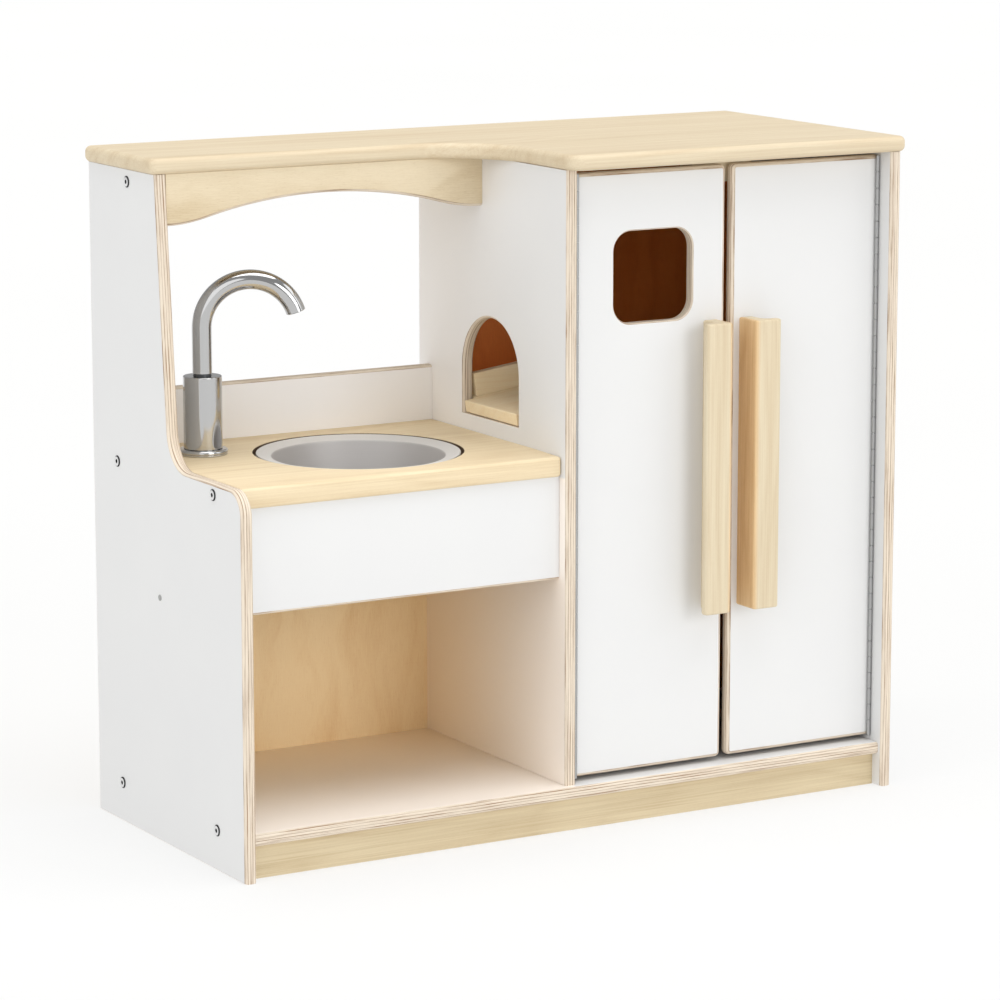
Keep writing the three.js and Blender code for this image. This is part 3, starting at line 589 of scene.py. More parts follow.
low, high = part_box("top_board")
TOP_ROUND = 7 * mm
TOP_CORNER = 9 * mm
TOP_SWEEP = 99 * mm
TOP_NOSE = 20 * mm
TOP_OVER = 4 * mm
step_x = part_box("divider_panel")[0].x - TOP_OVER
shallow_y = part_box("left_side_panel")[0].y + NECK_TOP - TOP_OVER
top_outline = outline([
    (step_x, low.y, TOP_NOSE, TOP_ROUND),
    (high.x, low.y, TOP_CORNER, TOP_ROUND),
    (high.x, high.y, TOP_CORNER, TOP_ROUND),
    (low.x, high.y, TOP_CORNER, TOP_ROUND),
    (low.x, shallow_y, TOP_CORNER, TOP_ROUND),
    (step_x, shallow_y, TOP_SWEEP, TOP_ROUND),
])
top = board("top_board_birch", top_outline, low.z, high.z, "z", steps=10)
top_birch = birch("top_board_grain", "x", seed=3.0, light=(224, 210, 182), dark=(202, 180, 146))
fit(top, top_birch, "solid_birch", "carcass", "top_board")

# ---- Valance and rails -------------------------------------------------------------------------
# The valance is a birch plywood board under the top, cut to a shallow arch whose edge shows its
# plies. Square birch rails behind it and in the cupboard take the bolts.

low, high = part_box("arched_valance")
VALANCE_FLAT = 30 * mm
VALANCE_RISE = 28 * mm
ARCH_POINTS = 161
EASING = 9
across = np.linspace(low.x, high.x, ARCH_POINTS)
half_span = (high.x - low.x) / 2 - VALANCE_FLAT
arch_radius = (half_span ** 2 + VALANCE_RISE ** 2) / (2 * VALANCE_RISE)
from_middle = np.minimum(np.abs(across - (low.x + high.x) / 2), half_span)
rise = np.sqrt(arch_radius ** 2 - from_middle ** 2) - arch_radius + VALANCE_RISE
padded = np.concatenate([np.full(EASING, rise[0]), rise, np.full(EASING, rise[-1])])
rise = np.convolve(padded, np.ones(2 * EASING + 1) / (2 * EASING + 1), "valid")
valance_outline = (
    np.vstack([np.stack([across, low.z + rise], 1), [[high.x, high.z], [low.x, high.z]]]),
    np.concatenate([np.full(ARCH_POINTS - 1, ROUND), [BUTT, BUTT, BUTT]]),
)
valance = board("valance_ply", valance_outline, low.y, high.y, "y")
valance_ply = laminated_ply("valance_veneer", "y", low.y, high.y, "veneer", "veneer", seed=6.2,
                            veneer=((228, 213, 184), (198, 176, 138)), grain_along="x")
fit(valance, valance_ply, "solid_birch", "carcass", "arched_valance")
rail_birch = birch("rail_birch", "x", seed=21.0)
finish_node("sink_top_rail", rail_birch)
finish_node("cupboard_top_rail", rail_birch)

# ---- Worktop, backsplash and apron -------------------------------------------------------------
# The worktop is a solid birch board, bolted between the left panel and the divider, with a round
# rebated hole for the bowl. A white backsplash stands on it and a white apron hangs below it.

counter_low, counter_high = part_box("sink_counter")
bowl_low, bowl_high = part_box("sink_bowl")
BOWL_GAP = 4.2 * mm
LEDGE_WIDTH = 14 * mm
LEDGE_DROP = 7 * mm
WORKTOP_ROUND = 4 * mm
WORKTOP_CORNER = 5 * mm
TURN_POINTS = 160
bowl_x = (bowl_low.x + bowl_high.x) / 2
bowl_y = (bowl_low.y + bowl_high.y) / 2
hole_radius = (bowl_high.x - bowl_low.x) / 2 + BOWL_GAP
counter_outline = outline([
    (counter_low.x, counter_low.y, 0, WORKTOP_ROUND),
    (counter_high.x, counter_low.y, WORKTOP_CORNER, BUTT),
    (counter_high.x, counter_high.y, 0, 1 * mm),
    (counter_low.x, counter_high.y, 0, BUTT),
])


def circle(x, y, radius, count, rounding):
    """Circle of count points about x, y, as an outline with one rounding all round."""
    angle = np.arange(count) * 2 * math.pi / count
    points = np.stack([x + radius * np.cos(angle), y + radius * np.sin(angle)], 1)
    return points, np.full(count, rounding)


def lathe(name, profile, centre, count=96, sharp=35):
    """A turned piece about an upright axis: profile points (radius, height) carried through a
    full turn. Points on the axis become one, and the seam is closed."""
    angle = np.arange(count) * 2 * math.pi / count
    radius, height = np.asarray(profile, float).T
    points = np.stack([
        centre[0] + radius[:, None] * np.cos(angle),
        centre[1] + radius[:, None] * np.sin(angle),
        centre[2] + height[:, None] + 0 * angle,
    ], 2).reshape(-1, 3)
    piece = add_piece(name, points, ring_faces(len(radius), count), sharp=180)
    return tidy(piece, sharp)


def tidy(piece, sharp=35):
    """Merges doubled points, turns every face outwards and keeps only true corners sharp."""
    shell = bmesh.new()
    shell.from_mesh(piece.data)
    bmesh.ops.remove_doubles(shell, verts=shell.verts, dist=1e-7)
    bmesh.ops.recalc_face_normals(shell, faces=shell.faces)
    shell.to_mesh(piece.data)
    shell.free()
    piece.data.set_sharp_from_angle(angle=math.radians(sharp))
    return piece


def join(name, *pieces):
    """One object from several, for a piece whose parts are worked from the same wood."""
    points, faces, flat = [], [], []
    for piece in pieces:
        start = len(points)
        points += [tuple(v.co) for v in piece.data.vertices]
        faces += [[start + i for i in face.vertices] for face in piece.data.polygons]
        flat += [not face.use_smooth for face in piece.data.polygons]
        bpy.data.objects.remove(piece)
    order = sorted(range(len(faces)), key=lambda i: flat[i])
    return add_piece(name, points, [faces[i] for i in order], sum(flat))


counter_board = board("counter_board", counter_outline, counter_low.z, counter_high.z, "z",
                      hole=circle(bowl_x, bowl_y, hole_radius, TURN_POINTS, 0.8 * mm))
ledge_radius = hole_radius - LEDGE_WIDTH
ledge = lathe("counter_ledge", [
    (ledge_radius, 0), (hole_radius + 0.1 * mm, 0),
    (hole_radius + 0.1 * mm, counter_high.z - counter_low.z - LEDGE_DROP),
    (ledge_radius, counter_high.z - counter_low.z - LEDGE_DROP), (ledge_radius, 0),
], (bowl_x, bowl_y, counter_low.z), TURN_POINTS)
counter = join("counter_birch", counter_board, ledge)
counter_finish = birch("counter_grain", "x", seed=8.0, light=(238, 221, 187), dark=(214, 190, 151))
# Painted shade: the walls of the rebate round the bowl are coloured dark brown for the shade in
# that recess.
x, y, z = counter_finish.axes()
from_bowl = ((x - bowl_x / mm) ** 2 + (y - bowl_y / mm) ** 2) ** 0.5
rebate = (1 - from_bowl.above(hole_radius / mm + 0.2)) * (1 - z.above(counter_high.z / mm - 1.2))
shadowed = counter_finish.blend(rebate, counter_finish.colour(), display(92, 70, 50))
counter_finish.give("Base Color", shadowed)
fit(counter, counter_finish, "solid_birch", "carcass", "sink_counter")

splash = straight_board("backsplash_ply", "backsplash", "y", BUTT, ROUND)
low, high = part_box("backsplash")
# The backsplash's white is painted brighter than the other laminate: painted light for its shaded
# place behind the worktop.
splash_ply = laminated_ply(
    "backsplash_laminate", "y", low.y, high.y, seed=9.4,
    painted_light=lambda finish, white, x, y, z: finish.blend(0.8, white, display(252, 248, 244)))
fit(splash, splash_ply, "white_laminated_ply", "carcass", "backsplash")

apron = straight_board("apron_ply", "sink_apron", "y", ROUND, BUTT)
low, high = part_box("sink_apron")
apron_ply = laminated_ply("apron_laminate", "y", low.y, high.y, seed=5.5)
fit(apron, apron_ply, "white_laminated_ply", "carcass", "sink_apron")

# ---- Back panels -------------------------------------------------------------------------------
# Bare birch plywood, lacquered, with its grain upright. One closes the bay below the worktop, in a
# lighter, warmer birch as painted bounce light, and one closes the cupboard, its inner face painted
# amber as painted warm bounce light and shade inside the shut cupboard. They are glued between the
# uprights.

# Painted bounce light: the bay's back panel is a lighter, warmer copy of the birch veneer, for the
# light the shaded bay lacks.
bay_painted_bounce_veneer = birch_veneer("bay_back_veneer", 13.0, (254, 226, 178), (232, 190, 130))
finish_node("sink_back_panel", bay_painted_bounce_veneer)
BOUNCE_AMBER_LIGHT = (250, 146, 66)
BOUNCE_AMBER_DARK = (228, 120, 50)
panel_low, panel_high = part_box("cupboard_back_panel")
panel_middle = (panel_low.y + panel_high.y) / 2 / mm
rear_veneer = birch_veneer("cupboard_back_veneer", 17.0)
# Painted warm bounce light: the inner face is coloured a deep amber for the light thrown about
# inside the shut cupboard.
figure = veneer_tone(rear_veneer, rear_veneer.axes(), "z", 17.0)
painted_bounce_amber = rear_veneer.blend(figure, display(*BOUNCE_AMBER_LIGHT), display(*BOUNCE_AMBER_DARK))
inward = 1 - rear_veneer.axes()[1].above(panel_middle)
rear_veneer.give("Base Color", rear_veneer.blend(inward, rear_veneer.colour(), painted_bounce_amber))
finish_node("cupboard_back_panel", rear_veneer)

# ---- Sink bowl ---------------------------------------------------------------------------------
# A bowl pressed from satin stainless sheet. Its light rim slopes in from a rolled edge, whose
# skirt stands on the ledge in the worktop, and the deep part drops from the rim's inner edge.

SHEET = 1.5 * mm
rim = (bowl_high.x - bowl_low.x) / 2
mouth = rim - 18.1 * mm
deep = counter_high.z - bowl_low.z - SHEET
bowl_profile, _ = outline([
    (0, -deep, 0, 0),
    (mouth - 26 * mm, -deep, 22 * mm, 0),
    (mouth, -5.2 * mm, 1.5 * mm, 0),
    (rim - 1.2 * mm, -0.9 * mm, 1.0 * mm, 0),
    (rim, -1.6 * mm, 0.4 * mm, 0),
    (rim, -6.7 * mm, 0, 0),
    (rim - SHEET, -6.7 * mm, 0, 0),
    (rim - SHEET, -2.8 * mm, 0, 0),
    (mouth + 1.4 * mm, -6.9 * mm, 2.5 * mm, 0),
    (mouth - 24.8 * mm, -deep - SHEET, 23 * mm, 0),
    (0, -deep - SHEET, 0, 0),
])
bowl = lathe("sink_bowl_steel", bowl_profile, (bowl_x, bowl_y, counter_high.z), TURN_POINTS)
bowl_steel = Finish("satin_stainless", {"Metallic": 0.45, "IOR": 1.5})
x, y, z = bowl_steel.axes()
radial = ((x - bowl_x / mm) ** 2 + (y - bowl_y / mm) ** 2) ** 0.5
spin = bowl_steel.noise(bowl_steel.vector(radial * 2.4, z * 1.2, 0), 1.0, 3.0, 0.6)
smear = bowl_steel.noise(bowl_steel.place, 16.0, 3.0)
on_rim = radial.ramp(mouth / mm - 1.0, mouth / mm + 1.0)
steel_colour = bowl_steel.blend(on_rim, display(190, 187, 185), display(232, 230, 227))
bowl_steel.give("Base Color", bowl_steel.blend(spin * 0.2, steel_colour, display(170, 168, 167)))
bowl_steel.give("Roughness", 0.46 + spin * 0.12 + smear * 0.06)
bowl_steel.bump(spin, 0.012 * mm)
fit(bowl, bowl_steel, "satin_steel", "bowl", "sink_bowl")

# ---- Faucet ------------------------------------------------------------------------------------
# A chromed tap: a round flange, a thick upright body, a dark slip ring and a goose-neck spout that
# turns on it. Its threaded stud goes through the worktop, and a zinc nut holds it from below.

flange_low, flange_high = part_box("faucet_flange")
tap_x = (flange_low.x + flange_high.x) / 2
tap_y = (flange_low.y + flange_high.y) / 2
tap_z = flange_low.z
FLANGE = (flange_high.x - flange_low.x) / 2
flange_tall = flange_high.z - flange_low.z
BODY = 23 * mm
BODY_TOP = 94 * mm
COLLAR = 10.5 * mm
COLLAR_TOP = 97 * mm
STUD = 5 * mm
STUD_BELOW = 38 * mm
TAP_POINTS = 128

chrome = Finish("polished_chrome", {"Metallic": 1.0, "Base Color": display(190, 190, 190)})
haze = chrome.noise(chrome.place, 40.0, 3.0)
wipe = chrome.noise(chrome.vector(*[axis * 0.9 for axis in chrome.axes()]), 1.0, 2.0)
chrome.give("Roughness", 0.08 + haze.ramp(0.45, 0.8) * 0.05)
chrome.bump(wipe, 0.002 * mm)

flange_profile, _ = outline([
    (STUD + 0.4 * mm, 0, 0, 0),
    (FLANGE - 0.6 * mm, 0, 0.5 * mm, 0),
    (FLANGE - 0.6 * mm, 2.2 * mm, 0.4 * mm, 0),
    (FLANGE - 1.4 * mm, 2.6 * mm, 0.3 * mm, 0),
    (FLANGE, 3.0 * mm, 0.5 * mm, 0),
    (FLANGE, flange_tall, 3.2 * mm, 0),
    (BODY + 0.3 * mm, flange_tall - 0.1 * mm, 0, 0),
    (STUD + 0.4 * mm, flange_tall - 0.1 * mm, 0, 0),
])
flange_profile = np.vstack([flange_profile, flange_profile[:1]])
flange = lathe("faucet_flange_chrome", flange_profile, (tap_x, tap_y, tap_z), TAP_POINTS)
fit(flange, chrome, "chrome", "carcass", "faucet_flange")

body_profile, _ = outline([
    (0, -STUD_BELOW, 0, 0),
    (STUD, -STUD_BELOW, 0.5 * mm, 0),
    (STUD, flange_tall, 0, 0),
    (BODY - 0.5 * mm, flange_tall, 0, 0),
    (BODY, flange_tall + 0.5 * mm, 0, 0),
    (BODY, BODY_TOP, 1.2 * mm, 0),
    (COLLAR + 0.8 * mm, BODY_TOP, 0, 0),
    (COLLAR + 0.8 * mm, BODY_TOP - 1.2 * mm, 0, 0),
    (0, BODY_TOP - 1.2 * mm, 0, 0),
])
tap_body = lathe("faucet_body_chrome", body_profile, (tap_x, tap_y, tap_z), TAP_POINTS)
fit(tap_body, chrome, "chrome", "carcass", "faucet_body")

ring_dark = Finish("slip_ring", {"IOR": 1.45, "Metallic": 0.4})
speck = ring_dark.noise(ring_dark.place, 900.0, 2.0)
ring_dark.give("Base Color", ring_dark.blend(speck, display(70, 72, 75), display(92, 94, 97)))
ring_dark.give("Roughness", 0.34 + speck * 0.1)
ring_profile, _ = outline([
    (0, BODY_TOP - 1.1 * mm, 0, 0),
    (COLLAR, BODY_TOP - 1.1 * mm, 0, 0),
    (COLLAR, COLLAR_TOP - 0.1 * mm, 0.3 * mm, 0),
    (0, COLLAR_TOP - 0.1 * mm, 0, 0),
])
slip_ring = lathe("faucet_slip_ring", ring_profile, (tap_x, tap_y, tap_z), 96)
fit(slip_ring, ring_dark, "chrome", "carcass")

SPOUT = 11.7 * mm
SPOUT_WALL = 1.6 * mm
SPOUT_STRAIGHT = 150 * mm
SPOUT_BEND = 57 * mm
SPOUT_SWEEP = math.radians(162)
SPOUT_MOUTH = 7 * mm       # how deep the mouth is hollow
SPOUT_POINTS = 56
spout_turn = math.atan2(bowl_y - tap_y, bowl_x - tap_x)


def spout_mesh(name):
    """A goose-neck: rings of radius r carried up a straight riser and round a bend of radius R,
    so at bend angle a the middle is R(1 - cos a) out and R sin a up. The mouth is cut square,
    eased outside, and hollow as far as the aerator."""
    straight = np.linspace(COLLAR_TOP, SPOUT_STRAIGHT, 8)[:-1]
    angle = np.linspace(0, SPOUT_SWEEP, 72)
    out = np.concatenate([0 * straight, SPOUT_BEND * (1 - np.cos(angle))])
    up = np.concatenate([straight, SPOUT_STRAIGHT + SPOUT_BEND * np.sin(angle)])
    lean = np.concatenate([0 * straight, angle])
    radius = np.full(len(out), SPOUT)
    ease = 0.6 * mm
    inner = SPOUT - SPOUT_WALL
    last = np.array([np.sin(SPOUT_SWEEP), np.cos(SPOUT_SWEEP)])
    out[-1], up[-1] = out[-1] - ease * last[0], up[-1] - ease * last[1]
    mouth = np.array([SPOUT_BEND * (1 - math.cos(SPOUT_SWEEP)),
                      SPOUT_STRAIGHT + SPOUT_BEND * math.sin(SPOUT_SWEEP)])
    back = mouth - last * SPOUT_MOUTH
    tail = np.array([[*mouth, SPOUT - ease], [*mouth, inner], [*back, inner], [*back, 0]])
    out = np.concatenate([[0], out, tail[:, 0]])
    up = np.concatenate([[COLLAR_TOP], up, tail[:, 1]])
    radius = np.concatenate([[0], radius, tail[:, 2]])
    lean = np.concatenate([[0], lean, np.full(4, SPOUT_SWEEP)])
    theta = np.arange(SPOUT_POINTS) * 2 * math.pi / SPOUT_POINTS
    in_plane = radius[:, None] * np.cos(theta)
    sideways = radius[:, None] * np.sin(theta)
    reach = out[:, None] + in_plane * np.cos(lean)[:, None]
    height = up[:, None] - in_plane * np.sin(lean)[:, None]
    x = tap_x + reach * math.cos(spout_turn) - sideways * math.sin(spout_turn)
    y = tap_y + reach * math.sin(spout_turn) + sideways * math.cos(spout_turn)
    points = np.stack([x, y, tap_z + height], 2).reshape(-1, 3)
    return tidy(add_piece(name, points, ring_faces(len(out), SPOUT_POINTS), sharp=180))


spout = spout_mesh("faucet_spout_chrome")
fit(spout, chrome, "chrome", "spout", "faucet_spout")
aerator_grey = Finish("aerator_plastic", {"IOR": 1.46})
sieve = aerator_grey.node(
    "TexVoronoi", {"Vector": aerator_grey.place, "Scale": 700.0}, out="Distance")
aerator_tone = aerator_grey.blend(sieve, display(120, 122, 124), display(70, 72, 74))
aerator_grey.give("Base Color", aerator_tone)
aerator_grey.give("Roughness", 0.45 + sieve * 0.2)
finish_node("faucet_aerator", aerator_grey)

zinc = Finish("zinc_plate", {"Metallic": 1.0})
passivate = zinc.noise(zinc.place, 120.0, 3.0)
zinc.give("Base Color", zinc.blend(passivate, display(196, 198, 202), display(222, 222, 220)))
zinc.give("Roughness", 0.22 + passivate * 0.14)
zinc.bump(passivate, 0.01 * mm)
finish_node("faucet_nut", zinc)

# ---- Bolts -------------------------------------------------------------------------------------
# Flat-headed furniture bolts with a hexagon socket, zinc plated. They pass through the side
# panels into the ends of the deck, the worktop, the shelf and the rails.

BOLT_HEAD = 6.8 * mm
BOLT_PROUD = 1.6 * mm
SOCKET = 2.6 * mm
SOCKET_DEEP = 1.3 * mm
SHANK = 3 * mm
HEAD_GAP = 0.05 * mm
BOLT_POINTS = 48


def bolt_mesh(name, node):
    """Rings about the bolt's axis, from the bottom of the socket out over the head and down the
    shank. The socket's rings follow a hexagon: radius s cos 30 / cos(a mod 60 - 30)."""
    low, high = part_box(node)
    left = low.x < 0
    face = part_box("left_side_panel")[0].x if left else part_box("right_side_panel")[1].x
    outward = -1 if left else 1
    y, z = (low.y + high.y) / 2, (low.z + high.z) / 2
    shank_end = (high.x - face) if left else (face - low.x)
    angle = np.arange(BOLT_POINTS) * 2 * math.pi / BOLT_POINTS
    hexagon = math.cos(math.pi / 6) / np.cos(angle % (math.pi / 3) - math.pi / 6)
    # The fourth number of each ring is 1 where painted shade goes: in the socket and round the rim
    # of the head.
    rings = [
        (0, BOLT_PROUD - SOCKET_DEEP, 0, 1), (SOCKET, BOLT_PROUD - SOCKET_DEEP, 1, 1),
        (SOCKET, BOLT_PROUD - 0.15 * mm, 1, 1), (SOCKET + 0.3 * mm, BOLT_PROUD, 1, 0),
        (BOLT_HEAD - 1.3 * mm, BOLT_PROUD, 0, 0),
        (BOLT_HEAD - 0.9 * mm, BOLT_PROUD - 0.15 * mm, 0, 1),
        (BOLT_HEAD, BOLT_PROUD - 0.9 * mm, 0, 1), (BOLT_HEAD, HEAD_GAP, 0, 1),
        (SHANK, HEAD_GAP, 0, 0), (SHANK, -shank_end, 0, 0), (0, -shank_end, 0, 0),
    ]
    round_head = np.ones(BOLT_POINTS)
    radius = np.stack([r * (hexagon if six else round_head) for r, _, six, _ in rings])
    height = np.array([h for _, h, *_ in rings])[:, None] + 0 * radius
    points = np.stack([
        face + outward * height, y + radius * np.cos(angle), z + radius * np.sin(angle),
    ], 2).reshape(-1, 3)
    piece = add_piece(name, points, ring_faces(len(rings), BOLT_POINTS), sharp=180)
    shade = piece.data.attributes.new("shade", "FLOAT", "POINT")
    socket_rim_rings = np.repeat([dark for *_, dark in rings], BOLT_POINTS)
    shade.data.foreach_set("value", socket_rim_rings.astype(float))
    return tidy(piece, 28)


# Painted shade: the socket and the rim of each head are coloured near black for the shade in the
# socket and in the gap round the head.
bolt_zinc = Finish("bolt_zinc", {"Metallic": 1.0})
socket_rim_shade = bolt_zinc.node("Attribute", attribute_name="shade", out="Fac")
patina = bolt_zinc.noise(bolt_zinc.place, 200.0, 3.0)
bright = bolt_zinc.blend(patina, display(214, 215, 217), display(238, 238, 236))
bolt_zinc.give("Base Color", bolt_zinc.blend(socket_rim_shade, bright, display(58, 58, 60)))
bolt_zinc.give("Roughness", 0.24 + patina * 0.12 + socket_rim_shade * 0.2)
for node in list(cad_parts):
    if "_bolt_" in node:
        fit(bolt_mesh(node + "_zinc", node), bolt_zinc, "zinc_plated_steel", "carcass", node)

plug_plastic = Finish("plug_plastic", {"IOR": 1.46})
dapple = plug_plastic.noise(plug_plastic.place, 500.0, 2.0)
plug_grey = plug_plastic.blend(dapple, display(150, 150, 148), display(168, 168, 166))
plug_plastic.give("Base Color", plug_grey)
plug_plastic.give("Roughness", 0.5 + dapple * 0.1)
finish_node("left_side_plug", plug_plastic)

# ---- Doors -------------------------------------------------------------------------------------
# Two inset doors of white laminated plywood with rounded edges. The left one has a rounded square
# window that toys are posted through.

DOOR_CORNER = 6.5 * mm
DOOR_ROUND = 6 * mm
WINDOW = 110 * mm
WINDOW_CORNER = 24 * mm
WINDOW_ROUND = 2.5 * mm
WINDOW_OFFSET = 3.7 * mm
WINDOW_BELOW_TOP = 127 * mm
low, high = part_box("left_door")
window_x = (low.x + high.x) / 2 + WINDOW_OFFSET
window_z = high.z - WINDOW_BELOW_TOP
window = outline([
    (window_x - WINDOW / 2, window_z - WINDOW / 2, WINDOW_CORNER, WINDOW_ROUND),
    (window_x + WINDOW / 2, window_z - WINDOW / 2, WINDOW_CORNER, WINDOW_ROUND),
    (window_x + WINDOW / 2, window_z + WINDOW / 2, WINDOW_CORNER, WINDOW_ROUND),
    (window_x - WINDOW / 2, window_z + WINDOW / 2, WINDOW_CORNER, WINDOW_ROUND),
])


def door_outline(node, hinge_left):
    """Rectangle with rounded corners. Its hinge side is left square for the hinge leaf."""
    low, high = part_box(node)
    right = DOOR_ROUND if hinge_left else BUTT
    left = BUTT if hinge_left else DOOR_ROUND
    free, hung = DOOR_CORNER, 0
    return outline([
        (low.x, low.z, hung if hinge_left else free, DOOR_ROUND),
        (high.x, low.z, free if hinge_left else hung, right),
        (high.x, high.z, free if hinge_left else hung, DOOR_ROUND),
        (low.x, high.z, hung if hinge_left else free, left),
    ])


left_shape = door_outline("left_door", True)
left_door = board("left_door_ply", left_shape, low.y, high.y, "y", hole=window)
left_door_ply = laminated_ply(
    "left_door_laminate", "y", low.y, high.y, high_face="veneer", seed=12.0)
fit(left_door, left_door_ply, "white_laminated_ply", "left_door_leaf", "left_door")
right_shape = door_outline("right_door", False)
right_door = board("right_door_ply", right_shape, low.y, high.y, "y")
right_door_ply = laminated_ply(
    "right_door_laminate", "y", low.y, high.y, high_face="veneer", seed=14.0)
fit(right_door, right_door_ply, "white_laminated_ply", "right_door_leaf", "right_door")

# ---- Handles -----------------------------------------------------------------------------------
# Upright pulls milled from solid birch: a stem screwed to the door from behind and a lip to one
# side, with a rounded groove behind it for the fingers. All edges are eased.

HANDLE_STEM = 18 * mm
HANDLE_LIP = 12.5 * mm
HANDLE_EDGE = 4.5 * mm
HANDLE_FILLET = 8 * mm
HANDLE_END = 2.5 * mm
GAP_SHADE_REACH = 6.5          # how far the painted shade runs in from the stem's side, in mm


def handle(name, node, away):
    """The pull's section in plan, carried up its whole length. away is the lip's side."""
    low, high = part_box(node)
    solid, tip = (low.x, high.x) if away > 0 else (high.x, low.x)
    stem = solid + away * HANDLE_STEM
    lip = low.y + HANDLE_LIP
    section = [
        (solid, high.y, 0, HANDLE_END),
        (solid, low.y, HANDLE_EDGE, HANDLE_END),
        (tip, low.y, HANDLE_EDGE, HANDLE_END),
        (tip, lip, HANDLE_EDGE, HANDLE_END),
        (stem, lip, HANDLE_FILLET, HANDLE_END),
        (stem, high.y, 0, HANDLE_END),
    ]
    return board(name, outline(section if away > 0 else section[::-1]), low.z, high.z, "z")


for side, away, seed in (("left", -1, 31.0), ("right", 1, 37.0)):
    pull = handle(side + "_handle_birch", side + "_handle", away)
    low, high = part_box(side + "_handle")
    # The sides of the two pulls that face each other are painted a darker, warmer brown: painted
    # shade and warm bounce light in the gap between them.
    inner, reach = (high.x / mm, -GAP_SHADE_REACH) if away < 0 else (low.x / mm, GAP_SHADE_REACH)
    grain = birch(
        side + "_handle_grain", "z", seed=seed, light=(223, 210, 182), dark=(203, 182, 148),
        gap_shade=lambda x, y, z: 1 - ((x - inner) / reach).ramp(0.05, 1.0))
    fit(pull, grain, "solid_birch", side + "_door_leaf", side + "_handle")

# ---- Piano hinges ------------------------------------------------------------------------------
# A continuous steel hinge on each door: two thin leaves whose knuckles take turns round one pin.
# The frame's leaf is screwed to the upright and the other to the door's edge.

LEAF = 0.8 * mm
KNUCKLE = 2.6 * mm
PIN = 1.2 * mm
KNUCKLE_COUNT = 36

hinge_steel = Finish("hinge_steel", {"Metallic": 1.0})
x, y, z = hinge_steel.axes()
brush = hinge_steel.noise(hinge_steel.vector(x * 3, y * 3, z * 0.12), 1.0, 3.0, 0.6)
hinge_grey = hinge_steel.blend(brush, display(150, 151, 152), display(188, 188, 187))
hinge_steel.give("Base Color", hinge_grey)
hinge_steel.give("Roughness", 0.26 + brush * 0.16)
hinge_steel.bump(brush, 0.01 * mm)


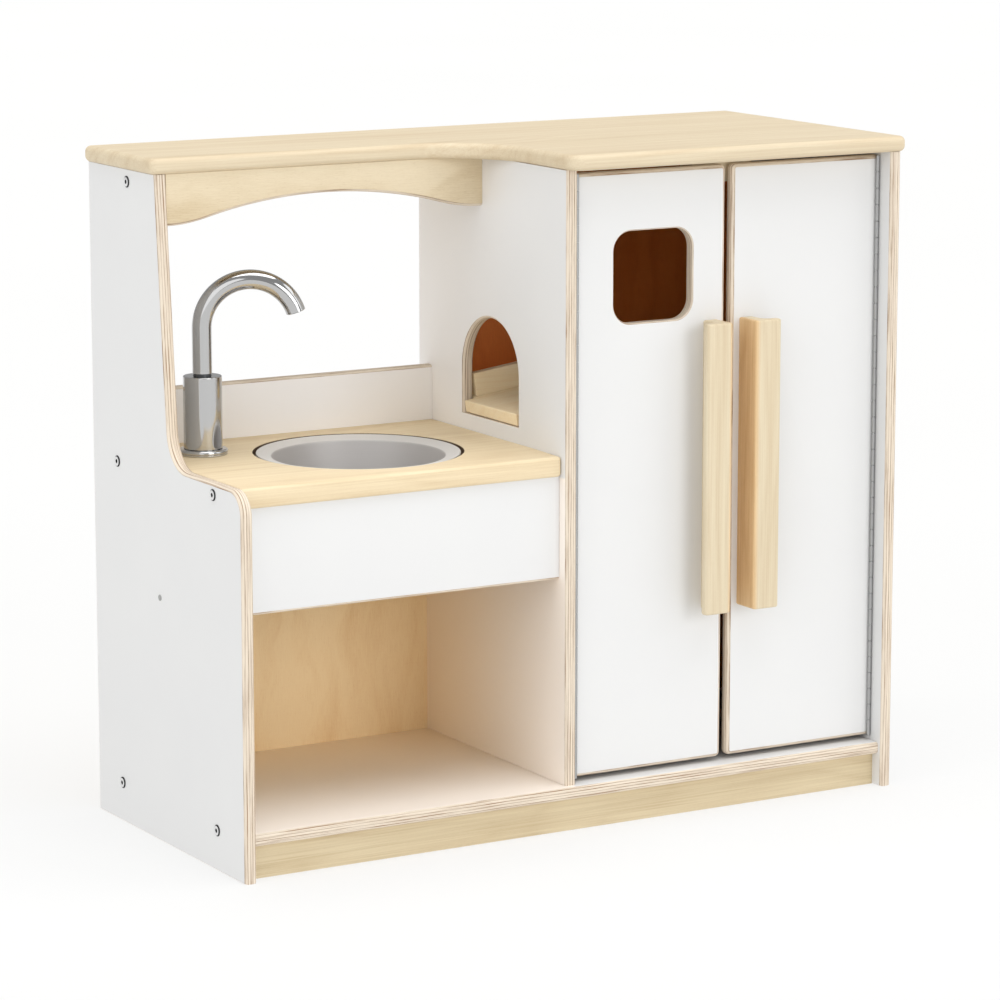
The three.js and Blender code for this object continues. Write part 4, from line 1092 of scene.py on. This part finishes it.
def hinge_leaf(name, node, pin, first):
    """A flat leaf and every second knuckle. A knuckle is a tube about the pin: its profile runs
    up the bore, out over an eased end, along the outside and back in."""
    low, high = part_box(node)
    pin_low, pin_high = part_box(pin)
    pin_x, pin_y = (pin_low.x + pin_high.x) / 2, (pin_low.y + pin_high.y) / 2
    outside = low.x if abs(low.x - pin_x) > abs(high.x - pin_x) else high.x
    leaf_x = (low.x, low.x + LEAF) if outside == low.x else (high.x - LEAF, high.x)
    pitch = (pin_high.z - pin_low.z) / KNUCKLE_COUNT
    gap, ease = 0.25 * mm, 0.4 * mm
    profile = np.array([
        (PIN + 0.2 * mm, gap), (KNUCKLE - ease, gap), (KNUCKLE, gap + ease),
        (KNUCKLE, pitch - gap - ease), (KNUCKLE - ease, pitch - gap), (PIN + 0.2 * mm, pitch - gap),
        (PIN + 0.2 * mm, gap),
    ])
    angle = np.arange(20) * 2 * math.pi / 20
    own = np.arange(first, KNUCKLE_COUNT, 2)
    ring = np.stack([
        pin_x + profile[:, :1] * np.cos(angle), pin_y + profile[:, :1] * np.sin(angle),
        pin_low.z + profile[:, 1:] + 0 * angle,
    ], 2)
    lift = np.zeros((len(own), 1, 1, 3))
    lift[:, 0, 0, 2] = own * pitch
    points = (ring[None] + lift).reshape(-1, 3).tolist()
    faces = []
    per_knuckle = len(profile) * len(angle)
    for k in range(len(own)):
        faces += ring_faces(len(profile), len(angle), k * per_knuckle)
    leaf_boxes = [(pin_y + KNUCKLE + 0.2 * mm, high.y, low.z, high.z)]
    leaf_boxes += [(pin_y + 1.3 * mm, pin_y + KNUCKLE + 0.3 * mm, pin_low.z + k * pitch + gap,
                    pin_low.z + (k + 1) * pitch - gap) for k in own]
    cube = [(0, 2, 6, 4), (1, 5, 7, 3), (0, 4, 5, 1), (2, 3, 7, 6), (0, 1, 3, 2), (4, 6, 7, 5)]
    for y0, y1, z0, z1 in leaf_boxes:
        start = len(points)
        points += [(px, py, pz) for px in leaf_x for py in (y0, y1) for pz in (z0, z1)]
        faces += [[start + i for i in face] for face in cube]
    return tidy(add_piece(name, points, faces, sharp=180), 40)


for side in ("left", "right"):
    for part, body, first in (("frame", "carcass", 0), ("door", side + "_door_leaf", 1)):
        node = f"{side}_hinge_{part}_leaf"
        leaf = hinge_leaf(node + "_steel", node, side + "_hinge_pin", first)
        fit(leaf, hinge_steel, "satin_steel", body, node)
    finish_node(side + "_hinge_pin", zinc)

# ---- Catch -------------------------------------------------------------------------------------
# A birch block under the top board stops both doors. Two round magnets set in it hold the steel
# plates that are screwed to the doors.

finish_node("catch_block", birch("catch_birch", "x", seed=41.0))
magnet_metal = Finish("magnet_nickel", {"Metallic": 1.0})
tarnish = magnet_metal.noise(magnet_metal.place, 300.0, 3.0)
magnet_grey = magnet_metal.blend(tarnish, display(92, 94, 98), display(120, 121, 124))
magnet_metal.give("Base Color", magnet_grey)
magnet_metal.give("Roughness", 0.3 + tarnish * 0.15)
for side in ("left", "right"):
    finish_node(side + "_catch_magnet", magnet_metal)
    finish_node(side + "_strike_plate", zinc)

# ---- Shelf and chute ---------------------------------------------------------------------------
# The shelf is bare birch plywood. The chute is solid birch: a floor that slopes down through the
# arch, a straight rail at the back and a slanted one that leads toys to the hole.

shelf = straight_board("shelf_ply", "cupboard_shelf", "z", ROUND, BUTT)
low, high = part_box("cupboard_shelf")
shelf_ply = laminated_ply("shelf_veneer", "z", low.z, high.z, "veneer", "veneer", seed=19.0,
                          grain_along="x")
fit(shelf, shelf_ply, "birch_ply", "carcass", "cupboard_shelf")
chute_birch = birch("chute_birch", "x", seed=44.0, light=(252, 236, 202), dark=(240, 214, 170))
for node in ("chute_floor", "chute_back_rail", "chute_front_guide"):
    finish_node(node, chute_birch)
